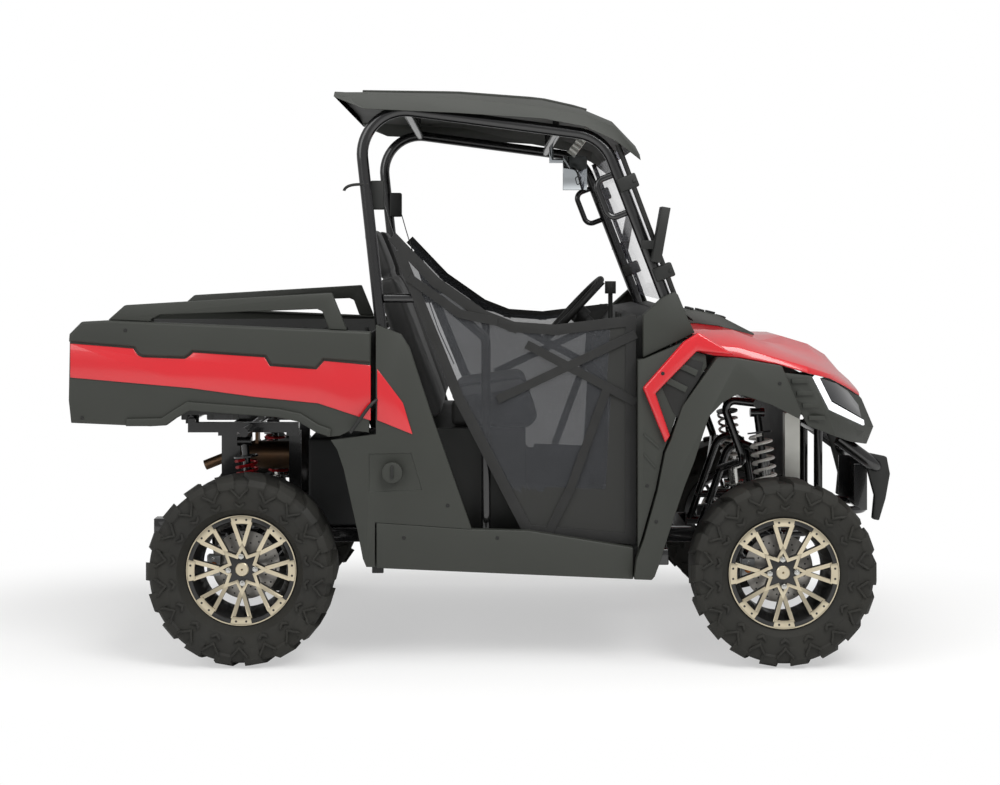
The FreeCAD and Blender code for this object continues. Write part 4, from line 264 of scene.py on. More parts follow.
def thicken(piece, depth):
    solid = piece.modifiers.new("thickness", "SOLIDIFY")
    solid.thickness = depth
    solid.offset = 0
    applyAll(piece)


def extrudeAcross(piece, depth):
    # pulls a flat face out along Y
    choose(piece)
    bpy.ops.object.mode_set(mode="EDIT")
    bpy.ops.mesh.select_all(action="SELECT")
    bpy.ops.mesh.extrude_region_move(TRANSFORM_OT_translate={"value": (0, depth, 0)})
    bpy.ops.mesh.select_all(action="SELECT")
    bpy.ops.mesh.normals_make_consistent(inside=False)
    bpy.ops.object.mode_set(mode="OBJECT")


def copyOf(name, ending):
    # a CAD node's mesh, with its loose triangles merged back into flat faces
    piece = bpy.data.objects.new(name + ending, nodes[name].data.copy())
    scene.collection.objects.link(piece)
    choose(piece)
    bpy.ops.object.mode_set(mode="EDIT")
    bpy.ops.mesh.select_all(action="SELECT")
    bpy.ops.mesh.remove_doubles(threshold=0.00005)
    bpy.ops.mesh.dissolve_limited(angle_limit=math.radians(1))
    bpy.ops.object.mode_set(mode="OBJECT")
    return piece


def soften(name, width, finish, segments=2, angle=30, smooth=40, rule=None, others=()):
    # a copy with moulded edges, which stands for the node; width is in millimetres.
    # A rule says whether a face takes the second finish.
    piece = copyOf(name, ".moulded")
    roundEdges(piece, width / 1000, segments, angle)
    settle(piece, name + ".moulded", finish, bodyOf[name], smooth)
    for other in others:
        piece.data.materials.append(made[other])
    if rule:
        for face in piece.data.polygons:
            face.material_index = int(rule(face.center, face.normal))
    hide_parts(name)
    return piece


def dress(name, finish, rule=None, others=()):
    data = nodes[name].data
    data.materials.clear()
    for entry in (finish,) + tuple(others):
        data.materials.append(made[entry])
    if rule:
        for face in data.polygons:
            face.material_index = int(rule(face.center, face.normal))


def buildCamera():
    data = bpy.data.cameras.new("camera")
    data.sensor_width = view["sensor"]
    data.lens = view["lens"]
    data.shift_x, data.shift_y = view["shift"]
    camera = bpy.data.objects.new("camera", data)
    camera.location = view["place"]
    camera.rotation_euler = (math.pi / 2, 0, 0)
    scene.collection.objects.link(camera)
    scene.camera = camera


def seenRays(tree):
    # rays that meet the backdrop as a picture: straight from the camera or through glass
    rays = addNode(tree, "ShaderNodeLightPath")
    both = addNode(tree, "ShaderNodeMath", {"operation": "MAXIMUM"},
                   {0: rays.outputs["Is Camera Ray"], 1: rays.outputs["Is Transmission Ray"]})
    return both.outputs["Value"]


def buildStudio():
    scene.view_settings.view_transform = "Standard"
    world = bpy.data.worlds.new("studio")
    scene.world = world
    world.use_nodes = True
    tree = world.node_tree
    light = tree.nodes["Background"]
    light.inputs["Color"].default_value = (1, 1, 1, 1)
    tree.links.new(rangeOf(tree, studio["world"], 1.0, seenRays(tree)), light.inputs["Strength"])
    deselect()
    bpy.ops.mesh.primitive_plane_add(size=studio["floorSize"], location=(0, 0, 0))
    floor = bpy.context.object
    floor.name = "floor"
    # matt white paper, which fades to plain white away from the vehicle
    paper, tree, shader, place = startMaterial("whitePaper")
    setSockets(shader, {"Base Color": linear(studio["floor"]), "Roughness": 0.9, "Specular IOR Level": 0.1})
    oval = addNode(tree, "ShaderNodeMapping", {"Scale": studio["stretch"]}, {"Vector": place})
    reach = addNode(tree, "ShaderNodeVectorMath", {"operation": "LENGTH"}, {"Vector": oval.outputs["Vector"]})
    fade = {"From Min": studio["nearFloor"], "From Max": studio["farFloor"], "To Min": studio["nearShare"],
            "interpolation_type": "SMOOTHSTEP"}
    away = addNode(tree, "ShaderNodeMapRange", fade, {"Value": reach.outputs["Value"]})
    share = addNode(tree, "ShaderNodeMath", {"operation": "MULTIPLY"},
                    {0: away.outputs["Result"], 1: seenRays(tree)})
    white = addNode(tree, "ShaderNodeEmission", {"Strength": 1.0})
    mix = addNode(tree, "ShaderNodeMixShader", {},
                  {0: share.outputs["Value"], 1: shader.outputs["BSDF"], 2: white.outputs["Emission"]})
    tree.links.new(mix.outputs["Shader"], tree.nodes["Material Output"].inputs["Surface"])
    floor.data.materials.append(paper)
    for name, (place, power, size) in studio["lamps"].items():
        lamp = bpy.data.lights.new(name, "AREA")
        lamp.energy = power
        lamp.size = size
        obj = bpy.data.objects.new(name, lamp)
        obj.location = place
        obj.rotation_euler = (Vector(studio["aim"]) - Vector(place)).to_track_quat("-Z", "Y").to_euler()
        scene.collection.objects.link(obj)


buildCamera()
buildStudio()
print("camera and studio ready")


wheels = {}
for end, x, y, z in (("front", 0.996, 0.635, 0.322), ("rear", -0.856, 0.61, 0.328)):
    for hand, side in (("right", -1), ("left", 1)):
        wheels[end + hand.title()] = {"end": end, "hand": hand, "body": f"wheel_{end}_{hand}", "side": side,
                                      "centre": (x, side * y, z)}

# Edge radii in millimetres and finishes of the moulded pieces
mouldings = {
    "hood": (4, "redLacquer"), "hood_lid": (8, "grainedPlastic"), "fender_trims": (4, "redLacquer"),
    "bed_stripes": (3, "redLacquer"), "side_stripes": (3, "redLacquer"), "front_fenders": (2.8, "grainedPlastic"),
    "pillar_panels": (2.5, "grainedPlastic"), "side_panels": (4, "grainedPlastic"), "sills": (5, "grainedPlastic"),
    "bed_skins": (4, "grainedPlastic"), "bed_rails": (6, "grainedPlastic"), "bed_tub": (4, "blackPlastic"),
    "fascia": (3, "grainedPlastic"), "cowl_sides": (2.5, "grainedPlastic"), "cowl_top": (2.5, "blackPlastic"),
    "roof": (3, "grainedPlastic"), "dash": (8, "blackPlastic"), "seat_base": (4, "blackPlastic"),
    "tailgate": (4, "grainedPlastic"), "engine": (12, "castIron"), "floor_pan": (1.5, "blackPlastic"),
    "tail_lamps": (3, "redAcrylic"), "receiver": (3, "powderCoat"), "side_nets": (0.8, "nylonTape"),
    "headlamps": (1.5, "smokedLens"), "lamp_strips": (2, "frostedLightGuide"), "main_frame": (4, "powderCoat"),
}
plainNodes = {
    "cage_right": "powderCoat", "cage_left": "powderCoat", "cage_cross": "powderCoat", "hip_bars": "powderCoat",
    "grab_handles": "powderCoat", "front_frame": "powderCoat", "rear_frame": "powderCoat",
    "front_arms": "powderCoat", "front_bumper": "powderCoat", "rack_rods": "zincPlate", "drive_axles": "castIron",
    "windscreen": "clearPolycarbonate", "exhaust": "heatedSteel", "steering_wheel": "softRubber",
}


# Where a second finish starts on a node, in metres; the calipers stand behind their axles, astride the discs
borders = {"mirrorFoot": 1.66, "radiatorTank": 0.284, "shockRod": 0.62, "frontCaliper": (0.918, 0.55),
           "rearCaliper": (-0.937, 0.54)}


def caliperRule(name):
    back, inner = borders[name]
    return lambda place, normal: place.x < back and abs(place.y) > inner


def dressBody():
    for name, (width, finish) in mouldings.items():
        soften(name, width, finish)
    soften("mirrors", 7, "blackPlastic", others=("mirrorGlass",),
           rule=lambda place, normal: place.z > borders["mirrorFoot"] and normal.y < -0.9)
    for hand in ("right", "left"):
        soften(f"knuckle_{hand}", 3, "castIron", rule=caliperRule("frontCaliper"), others=("castAluminium",))
    for name, finish in plainNodes.items():
        dress(name, finish)
    dress("springs", "greySpring", lambda place, normal: place.x <= 0, ("redAnodised",))
    tanks = borders["radiatorTank"]
    dress("radiator", "castIron", lambda place, normal: abs(place.y) > tanks, ("rolledAluminium",))
    dress("shocks", "powderCoat", lambda place, normal: place.z < borders["shockRod"], ("zincPlate",))
    dress("rear_arms", "powderCoat", caliperRule("rearCaliper"), ("castAluminium",))
    print("body dressed")


dressBody()


ways = {"X": (1, 0, 0), "Y": (0, 1, 0), "Z": (0, 0, 1)}


def spinProfile(profile, centre, axis, steps=48):
    # turns a profile of (radius, place along the axis) about a line through centre along X, Y or Z
    deselect()
    bpy.ops.mesh.primitive_plane_add(size=0.01, location=(0, 0, 0))
    piece = bpy.context.object
    bpy.ops.object.mode_set(mode="EDIT")
    bpy.ops.mesh.select_all(action="SELECT")
    bpy.ops.mesh.delete(type="VERT")
    bpy.ops.object.mode_set(mode="OBJECT")
    turn = {"X": lambda r, a: (a, 0, r), "Y": lambda r, a: (r, a, 0), "Z": lambda r, a: (r, 0, a)}[axis]
    data = piece.data
    data.vertices.add(len(profile))
    for vertex, (r, a) in zip(data.vertices, profile):
        vertex.co = Vector(turn(r, a)) + Vector(centre)
    data.edges.add(len(profile) - 1)
    for n, edge in enumerate(data.edges):
        edge.vertices = (n, n + 1)
    bpy.ops.object.mode_set(mode="EDIT")
    bpy.ops.mesh.select_all(action="SELECT")
    bpy.ops.mesh.spin(steps=steps, angle=2 * math.pi, center=centre, axis=ways[axis])
    bpy.ops.mesh.select_all(action="SELECT")
    bpy.ops.mesh.remove_doubles(threshold=0.00002)
    bpy.ops.mesh.normals_make_consistent(inside=False)
    bpy.ops.object.mode_set(mode="OBJECT")
    return piece


def disc(centre, radius, depth, axis="Y", edge=0.25, sides=24, dish=0.0):
    # a short turned piece with rounded edges; depth is along the axis, with its sign
    lip = radius * edge
    sign = 1 if depth > 0 else -1
    depth = abs(depth)
    rise = min(lip, depth * 0.6)
    profile = [(0.0, 0.0), (radius, 0.0), (radius, sign * (depth - rise)),
               (radius - lip * 0.3, sign * (depth - rise * 0.3)), (radius - lip, sign * depth),
               (0.0, sign * (depth - dish))]
    return spinProfile(profile, centre, axis, sides)


def hexNut(centre, width, height, axis="Y", sign=-1):
    deselect()
    turns = {"Y": (math.pi / 2, 0, 0), "X": (0, math.pi / 2, 0), "Z": (0, 0, 0)}[axis]
    offset = Vector(ways[axis]) * (sign * height / 2)
    bpy.ops.mesh.primitive_cylinder_add(vertices=6, radius=width / 2, depth=height,
                                        location=Vector(centre) + offset, rotation=turns)
    nut = bpy.context.object
    bpy.ops.object.transform_apply(location=True, rotation=True, scale=True)
    roundEdges(nut, height * 0.12, 2, 40)
    top = disc(Vector(centre) + offset * 2, width * 0.26, sign * height * 0.35, axis, 0.3, 12)
    return join([nut, top])


def block(low, high, edge=0.002, segments=2):
    deselect()
    low, high = Vector(low), Vector(high)
    bpy.ops.mesh.primitive_cube_add(size=1, location=(low + high) / 2)
    piece = bpy.context.object
    piece.scale = high - low
    bpy.ops.object.transform_apply(location=True, rotation=True, scale=True)
    roundEdges(piece, edge, segments, 30)
    return piece


def pipe(points, radius, name="pipe", closed=False, steps=6, sides=4, kind="NURBS", order=3):
    curve = bpy.data.curves.new(name, "CURVE")
    curve.dimensions = "3D"
    curve.bevel_depth = radius
    curve.bevel_resolution = sides
    curve.resolution_u = steps
    curve.use_fill_caps = True
    spline = curve.splines.new(kind)
    spline.points.add(len(points) - 1)
    for point, place in zip(spline.points, points):
        point.co = (*place, 1)
    spline.use_cyclic_u = closed
    if kind == "NURBS":
        spline.order_u = order
        spline.use_endpoint_u = not closed
    piece = bpy.data.objects.new(name, curve)
    scene.collection.objects.link(piece)
    choose(piece)
    bpy.ops.object.convert(target="MESH")
    return bpy.context.object


rimTrim = {"pads": 8, "phase": 0.0, "padInner": 0.1605, "padOuter": 0.1865, "padHalf": 0.2, "padDepth": 0.0026,
           "screwCircle": 0.1745, "screwSpread": 0.1, "screwSize": 0.0042, "screwDepth": 0.0022,
           "nuts": 4, "nutCircle": 0.046, "nutPhase": 0.05, "nutWidth": 0.021, "nutHeight": 0.012,
           "cap": [(0.0015, 0.003), (0.004, 0.007), (0.02115, 0.007), (0.0235, 0.0049), (0.0235, 0)],
           "ring": [(0.1845, 0), (0.1848, 0.0016), (0.1885, 0.0016), (0.1889, 0)],
           "starTip": 0.094, "starNotch": 0.054, "ribWidth": 0.011, "ribRise": 0.0025, "turnedReach": 0.168,
           "faceInset": 0.022, "rimHalf": 0.089, "hub": 0.03, "discRadius": 0.118, "discFace": 0.018,
           "holeCircles": (0.078, 0.092, 0.106), "holes": 14, "holeSize": 0.0034, "holeDepth": 0.0009}


def along(path, share):
    lengths = [math.dist(a, b) for a, b in zip(path, path[1:])]
    goal = share * sum(lengths)
    for (a, b), length in zip(zip(path, path[1:]), lengths):
        if goal <= length:
            return Vector(a).lerp(Vector(b), goal / length)
        goal -= length
    return Vector(path[-1])


def hitOn(target, start, way):
    hit, place, normal, face = target.ray_cast(Vector(start), Vector(way))
    return place if hit else None


def starRib(centre, side):
    # the raised machined edge that follows the star's outline
    face = centre[1] + side * (rimTrim["rimHalf"] - rimTrim["faceInset"])
    deselect()
    bpy.ops.mesh.primitive_circle_add(vertices=rimTrim["pads"] * 2, radius=rimTrim["starTip"], fill_type="NGON",
                                      location=(centre[0], face, centre[2]), rotation=(math.pi / 2, 0, 0))
    star = bpy.context.object
    bpy.ops.object.transform_apply(location=True, rotation=True, scale=True)
    for n, vertex in enumerate(star.data.vertices):
        angle = math.pi / rimTrim["pads"] * n + rimTrim["phase"]
        r = rimTrim["starTip"] - 0.002 if n % 2 == 0 else rimTrim["starNotch"] - 0.001
        vertex.co = (centre[0] + r * math.cos(angle), face, centre[2] + r * math.sin(angle))
    bpy.ops.object.mode_set(mode="EDIT")
    bpy.ops.mesh.select_all(action="SELECT")
    bpy.ops.mesh.inset(thickness=rimTrim["ribWidth"])
    bpy.ops.mesh.delete(type="FACE")
    bpy.ops.object.mode_set(mode="OBJECT")
    extrudeAcross(star, side * rimTrim["ribRise"])
    roundEdges(star, 0.0006, 2, 40)
    return star


def arcPlate(centre, inner, outer, middle, half, depth):
    # a curved plate between two radii, facing along Y
    steps = 8
    deselect()
    bpy.ops.mesh.primitive_grid_add(x_subdivisions=steps, y_subdivisions=1, size=1)
    plate = bpy.context.object
    for vertex in plate.data.vertices:
        angle = middle + vertex.co.x * 2 * half
        r = inner + (vertex.co.y + 0.5) * (outer - inner)
        vertex.co = (centre[0] + r * math.cos(angle), centre[1], centre[2] + r * math.sin(angle))
    extrudeAcross(plate, depth)
    roundEdges(plate, 0.0005, 2, 40)
    return plate


# The bars' paths give the share of the sidewall's height and of a pitch
tread = {"pitches": 18, "bars": [(0.72, -0.30), (0.50, 0.0), (0.72, 0.30)],
         "rootBars": [(0.38, -0.2), (0.30, 0.0), (0.38, 0.2)], "width": 0.011, "rise": 0.004, "bead": 0.178}


def treadBars(tyre, spec):
    # moulded chevrons on both sidewalls, between the shoulder lugs
    cx, cy, cz = spec["centre"]
    wall = cz - tread["bead"]
    bars = []
    for side in (1, -1):
        for n in range(tread["pitches"]):
            middle = 2 * math.pi / tread["pitches"] * (n + (0.5 if side > 0 else 0) + 0.5)
            for path in (tread["bars"], tread["rootBars"]):
                deselect()
                bpy.ops.mesh.primitive_grid_add(x_subdivisions=6, y_subdivisions=1, size=1)
                bar = bpy.context.object
                for vertex in bar.data.vertices:
                    here = along([(level, lean, 0) for level, lean in path], vertex.co.x + 0.5)
                    r = tread["bead"] + wall * here.x + vertex.co.y * tread["width"]
                    angle = middle + here.y * 2 * math.pi / tread["pitches"]
                    x, z = cx + r * math.cos(angle), cz + r * math.sin(angle)
                    place = hitOn(tyre, (x, cy + side * 0.3, z), (0, -side, 0))
                    vertex.co = (x, (place.y if place else cy + side * 0.1) + side * tread["rise"], z)
                thicken(bar, tread["rise"] * 2)
                bars.append(bar)
    whole = join(bars)
    roundEdges(whole, 0.001, 1, 40)
    return whole


def buildWheel(label, spec):
    cx, cy, cz = spec["centre"]
    side, trim = spec["side"], rimTrim
    outer = cy + side * trim["rimHalf"]
    star = outer - side * trim["faceInset"]

    def at(radius, angle, y):
        return (cx + radius * math.cos(angle), y, cz + radius * math.sin(angle))

    rim = soften(f"rim_{spec['end']}_{spec['hand']}", 1.2, "turnedAluminium", smooth=35,
                 others=("blackEnamel", "groundSteel"))
    for face in rim.data.polygons:
        corners = [rim.data.vertices[n].co for n in face.vertices]
        r = sum(math.hypot(place.x - cx, place.z - cz) for place in corners) / len(corners)
        depth = side * (face.center.y - cy)
        outward = side * face.normal.y > 0.75 and depth > 0
        turned = outward and trim["starNotch"] * 1.5 < r < trim["turnedReach"]
        ground = trim["hub"] < r < trim["discRadius"] + 0.001 and depth < -0.01
        face.material_index = 2 if ground else 0 if turned else 1
    tyre = soften(f"tyre_{spec['end']}_{spec['hand']}", 4, "mouldedRubber", 2, 24, 50)
    settle(treadBars(tyre, spec), f"tread_bars.{label}", "mouldedRubber", spec["body"], 50)

    rib = starRib((cx, cy, cz), side)
    cap = spinProfile([(r, side * a) for r, a in trim["cap"]], (cx, star, cz), "Y", 40)
    nuts = []
    for n in range(trim["nuts"]):
        place = at(trim["nutCircle"], 2 * math.pi * n / trim["nuts"] + trim["nutPhase"], star)
        nuts.append(hexNut(place, trim["nutWidth"], trim["nutHeight"], "Y", side))
    # champagne ring round the lip, and a plate over each pad that holds two screws
    plates = [spinProfile([(r, side * a) for r, a in trim["ring"]], (cx, outer, cz), "Y", 72)]
    screws = []
    for n in range(trim["pads"]):
        middle = 2 * math.pi * n / trim["pads"] + trim["phase"]
        plates.append(arcPlate((cx, outer - side * 0.001, cz), trim["padInner"], trim["padOuter"], middle,
                               trim["padHalf"], side * trim["padDepth"]))
        for lean in (-1, 1):
            place = at(trim["screwCircle"], middle + lean * trim["screwSpread"], outer + side * 0.0002)
            screws.append(disc(place, trim["screwSize"], side * trim["screwDepth"], "Y", 0.3, 10))
    # black dots on the disc's face stand for its drilled holes: painted shade inside the holes
    holes = []
    for row, r in enumerate(trim["holeCircles"]):
        for n in range(trim["holes"]):
            place = at(r, 2 * math.pi * (n + row / 3) / trim["holes"], cy - side * (trim["discFace"] + 0.0005))
            holes.append(disc(place, trim["holeSize"], side * trim["holeDepth"], "Y", 0.3, 8))
    for name, pieces, finish in (("star_rib", [rib], "turnedAluminium"), ("centre_cap", [cap], "turnedAluminium"),
                                 ("wheel_nuts", nuts, "zincPlate"), ("rim_plates", plates, "turnedAluminium"),
                                 ("rim_screws", screws, "blackEnamel"), ("disc_hole_shade", holes, "blackEnamel")):
        settle(join(pieces), f"{name}.{label}", finish, spec["body"])


for label, spec in wheels.items():
    buildWheel(label, spec)
print("wheels ready")

# The net's corners as X and Z, from the photograph; it hangs just outside the cage
sideNet = {"top": [(-0.330, 1.458), (-0.186, 1.315), (-0.022, 1.202), (0.080, 1.158), (0.234, 1.147),
                   (0.497, 1.178)],
           "foot": [(-0.330, 1.440), (-0.108, 0.911), (0.131, 0.450), (0.497, 0.425)], "plane": 0.6585,
           "across": 64, "down": 44, "fold": 0.0035, "clothFoot": 0.60, "clothFront": 0.402}


def buildNetPanel(label, side):
    deselect()
    bpy.ops.mesh.primitive_grid_add(x_subdivisions=sideNet["across"], y_subdivisions=sideNet["down"], size=1)
    net = bpy.context.object
    for vertex in net.data.vertices:
        u, v = vertex.co.x + 0.5, vertex.co.y + 0.5
        place = along(sideNet["foot"], u).lerp(along(sideNet["top"], u), v)
        slack = math.sin(math.pi * u) * math.sin(math.pi * v)
        fold = noise.noise(Vector((place.x * 9, place.y * 5 + side, 0)))
        fold += 0.5 * noise.noise(Vector((place.x * 22, place.y * 14, 3)))
        vertex.co = (place.x, side * (sideNet["plane"] + sideNet["fold"] * fold * min(1, slack * 3)), place.y)
    if side > 0:
        bpy.ops.object.mode_set(mode="EDIT")
        bpy.ops.mesh.select_all(action="SELECT")
        bpy.ops.mesh.flip_normals()
        bpy.ops.object.mode_set(mode="OBJECT")
    settle(net, f"net_cloth.{label}", "knittedNet", "root", 60)
    net.data.materials.append(made["nylonCloth"])
    for face in net.data.polygons:
        if face.center.z < sideNet["clothFoot"] or face.center.x > sideNet["clothFront"]:
            face.material_index = 1


netStraps = {"width": 0.030, "thick": 0.0022, "plane": 0.6655,
             "lines": [[(0.12, 1.10), (0.497, 0.90)], [(0.02, 0.91), (0.497, 1.135)],
                       [(0.40, 0.955), (0.27, 0.60), (0.19, 0.44)], [(-0.285, 1.33), (-0.11, 1.205), (0.02, 1.178)]]}


def strap(path, width, thick, plane, side):
    # a flat tape through points of X and Z
    steps = 24
    deselect()
    bpy.ops.mesh.primitive_grid_add(x_subdivisions=steps, y_subdivisions=2, size=1)
    tape = bpy.context.object
    for vertex in tape.data.vertices:
        u, v = vertex.co.x + 0.5, vertex.co.y
        here = along(path, u)
        run = (along(path, min(1, u + 0.02)) - along(path, max(0, u - 0.02))).normalized()
        wave = 0.0008 * math.sin(u * 40)
        vertex.co = (here.x - run.y * v * width, side * (plane + wave), here.y + run.x * v * width)
    thicken(tape, thick)
    roundEdges(tape, thick * 0.3, 1, 40)
    return tape


for label, side in (("right", -1), ("left", 1)):
    buildNetPanel(label, side)
    tapes = [strap(path, netStraps["width"], netStraps["thick"], netStraps["plane"], side)
             for path in netStraps["lines"]]
    settle(join(tapes), f"net_straps.{label}", "nylonTape", "root")
print("nets ready")

seats = {"voxel": 0.0115, "round": 0.026, "shrink": 0.006, "pressure": 4.0, "frames": 20, "cap": 0.012}


def plump(piece, cap):
    # inflates a cushion a little with cloth under pressure, then fixes the result
    rest = [vertex.co.copy() for vertex in piece.data.vertices]
    cloth = piece.modifiers.new("stuffing", "CLOTH")
    cloth.settings.use_pressure = True
    cloth.settings.uniform_pressure_force = seats["pressure"]
    cloth.settings.effector_weights.gravity = 0
    cloth.point_cache.frame_start = 1
    cloth.point_cache.frame_end = seats["frames"]
    for step in range(1, seats["frames"] + 1):
        scene.frame_set(step)
    applyAll(piece)
    scene.frame_set(1)
    for vertex, start in zip(piece.data.vertices, rest):
        move = vertex.co - start
        if move.length > cap:
            vertex.co = start + move.normalized() * cap


def buildSeats():
    for name in ("seat_cushions", "seat_backs"):
        piece = copyOf(name, ".covered")
        roundEdges(piece, seats["round"], 4, 25)
        piece.data.remesh_voxel_size = seats["voxel"]
        bpy.ops.object.voxel_remesh()
        normals = [vertex.normal.copy() for vertex in piece.data.vertices]
        for vertex, normal in zip(piece.data.vertices, normals):
            vertex.co -= normal * seats["shrink"]
        plump(piece, seats["cap"])
        level = piece.modifiers.new("soft", "SUBSURF")
        level.levels = 1
        level.render_levels = 1
        applyAll(piece)
        settle(piece, name + ".covered", "seatVinyl", "root", 70)
        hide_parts(name)


buildSeats()
print("seats ready")

pillarTrim = {"clamps": [(0.461, 1.656), (0.585, 1.348)], "size": (0.07, 0.052, 0.05), "lean": -0.368,
              "plane": 0.640, "edge": [(0.637, 1.252), (0.435, 1.788)], "edgeRadius": 0.009, "edgePlane": 0.655}


def leaned(centre, size, lean, edge=0.003):
    # a small moulded block, leaned about Y
    deselect()
    bpy.ops.mesh.primitive_cube_add(size=1, location=centre, rotation=(0, lean, 0))
    piece = bpy.context.object
    piece.scale = size
    bpy.ops.object.transform_apply(location=True, rotation=True, scale=True)
    roundEdges(piece, edge, 3, 30)
    return piece


def buildPillarTrim(label, side):
    plane = side * pillarTrim["plane"]
    clamps = []
    for x, z in pillarTrim["clamps"]:
        clamps.append(leaned((x + 0.008, plane, z), pillarTrim["size"], pillarTrim["lean"], 0.006))
        clamps.append(disc((x + 0.03, plane + side * 0.026, z + 0.006), 0.006, side * 0.004, "Y", 0.3, 14))
    settle(join(clamps), f"screen_clamps.{label}", "blackPlastic")
    edge = [(x, side * pillarTrim["edgePlane"], z) for x, z in pillarTrim["edge"]]
    edge = pipe(edge, pillarTrim["edgeRadius"], kind="POLY")
    settle(edge, f"screen_edge.{label}", "softRubber")


def ridge(target, path, face, width, rise, steps=14):
    # a raised strip that follows a surface, seen from one side ("right", "left") or from above ("top")
    deselect()
    bpy.ops.mesh.primitive_grid_add(x_subdivisions=steps, y_subdivisions=2, size=1)
    strip = bpy.context.object
    way = {"right": (0, 1, 0), "left": (0, -1, 0), "top": (0, 0, -1)}[face]
    last = None
    for vertex in strip.data.vertices:
        here = along(path, vertex.co.x + 0.5)
        ahead, back = along(path, min(1, vertex.co.x + 0.52)), along(path, max(0, vertex.co.x + 0.48))
        run = (ahead - back).normalized()
        a, b = here.x - run.y * vertex.co.y * width, here.y + run.x * vertex.co.y * width
        start = {"right": (a, -1.2, b), "left": (a, 1.2, b), "top": (a, b, 2.5)}[face]
        last = hitOn(target, start, way) or last or Vector(start)
        vertex.co = last - Vector(way) * rise
    thicken(strip, rise * 2)
    roundEdges(strip, rise * 0.4, 2, 40)
    return strip


def flatPlate(outline, plane, depth, edge=0.001):
    # a plate cut to an outline of X and Z, extruded along Y
    deselect()
    bpy.ops.mesh.primitive_circle_add(vertices=len(outline), radius=0.1, fill_type="NGON")
    plate = bpy.context.object
    for vertex, (x, z) in zip(plate.data.vertices, outline):
        vertex.co = (x, plane, z)
    extrudeAcross(plate, depth)
    roundEdges(plate, edge, 2, 30)
    return plate


def part(name):
    return bpy.data.objects[name + ".moulded"]


# The dark plate at the vent paints the shade inside its recess.
fasteners = {"radius": 0.0065, "rise": 0.003, "slatWidth": 0.021, "slatRise": 0.004, "recessPlane": 0.7145,
             "places": {"fender_trims": [(0.581, 1.005)],
                        "side_panels": [(-0.47, 0.50), (-0.15, 0.55), (-0.40, 0.86)],
                        "sills": [(-0.30, 0.44), (0.02, 0.44), (0.38, 0.44)],
                        "front_fenders": [(0.98, 0.97), (0.56, 0.50), (0.62, 0.84)],
                        "pillar_panels": [(0.53, 0.95), (0.53, 0.62)],
                        "bed_skins": [(-1.40, 0.85), (-0.95, 0.86), (-0.62, 0.80), (-1.25, 1.15)]},
             "vents": [[(0.632, 1.036), (0.700, 1.004)], [(0.592, 0.984), (0.664, 0.948)]],
             "recess": [(0.648, 1.060), (0.722, 1.042), (0.708, 0.985), (0.668, 0.925), (0.636, 0.850),
                        (0.618, 0.872), (0.578, 0.962)]}


def buildFasteners(label, side):
    for name, places in fasteners["places"].items():
        heads = []
        for x, z in places:
            place = hitOn(part(name), (x, side * 1.2, z), (0, -side, 0))
            if place:
                place.y -= side * 0.001
                heads.append(disc(place, fasteners["radius"], side * fasteners["rise"], "Y", 0.4, 14, 0.001))
        if heads:
            settle(join(heads), f"screws.{name}.{label}", "softRubber", bodyOf[name])
    # a flat dark plate behind the vent slats: painted shade standing for the hollow of the vent
    recess = flatPlate(fasteners["recess"], side * fasteners["recessPlane"], side * 0.005)
    settle(recess, f"vent_recess.{label}", "softRubber")
    slats = [ridge(part("pillar_panels"), path, label, fasteners["slatWidth"], fasteners["slatRise"])
             for path in fasteners["vents"]]
    settle(join(slats), f"vent_slats.{label}", "grainedPlastic", "root")


brakes = {"front": (0.8873, 0.6355, 0.322), "rear": (-0.9647, 0.6105, 0.328), "boltSpread": 0.026,
          "piston": [(0.0, 0.002), (0.005, 0.002), (0.0065, 0.005), (0.012, 0.005), (0.0135, 0.003), (0.0135, 0)]}


def buildBrake(label, spec):
    x, y, z = brakes[spec["end"]]
    side = spec["side"]
    body = "steer_" + spec["hand"] if spec["end"] == "front" else "root"
    face = side * y
    piston = spinProfile([(r, side * a) for r, a in brakes["piston"]], (x, face, z), "Y", 28)
    settle(piston, f"brake_piston.{label}", "copperPiston", body)
    bolts = [hexNut((x, face, z + up * brakes["boltSpread"]), 0.011, 0.006, "Y", side) for up in (-1, 1)]
    settle(join(bolts), f"brake_bolts.{label}", "zincPlate", body)


cab = {"reelX": (-0.42, -0.372), "reelY": (0.565, 0.625), "reelZ": (1.565, 1.665),
       "beltPlanes": (0.592, 0.430), "beltThick": 0.0022, "beltWidth": 0.046,
       "beltPath": [(-0.385, 1.62), (-0.350, 1.50), (-0.285, 1.30), (-0.215, 1.10), (-0.150, 0.96)],
       "hookPlane": 0.655, "hook": [(-0.425, 1.650), (-0.470, 1.652), (-0.506, 1.640), (-0.508, 1.628)],
       "lever": [(-0.392, 0.700, 0.912), (-0.412, 0.722, 0.900), (-0.450, 0.724, 0.845), (-0.481, 0.722, 0.802)]}


def belt(path, side, width, thick):
    # a flat tape whose width runs along Y; it drifts from the reel towards the middle of the seat
    high, low = cab["beltPlanes"]
    deselect()
    bpy.ops.mesh.primitive_grid_add(x_subdivisions=24, y_subdivisions=2, size=1)
    tape = bpy.context.object
    for vertex in tape.data.vertices:
        share = vertex.co.x + 0.5
        here = along(path, share)
        vertex.co = (here.x, side * (high + (low - high) * share) + vertex.co.y * width, here.y)
    thicken(tape, thick)
    roundEdges(tape, thick * 0.3, 1, 40)
    return tape


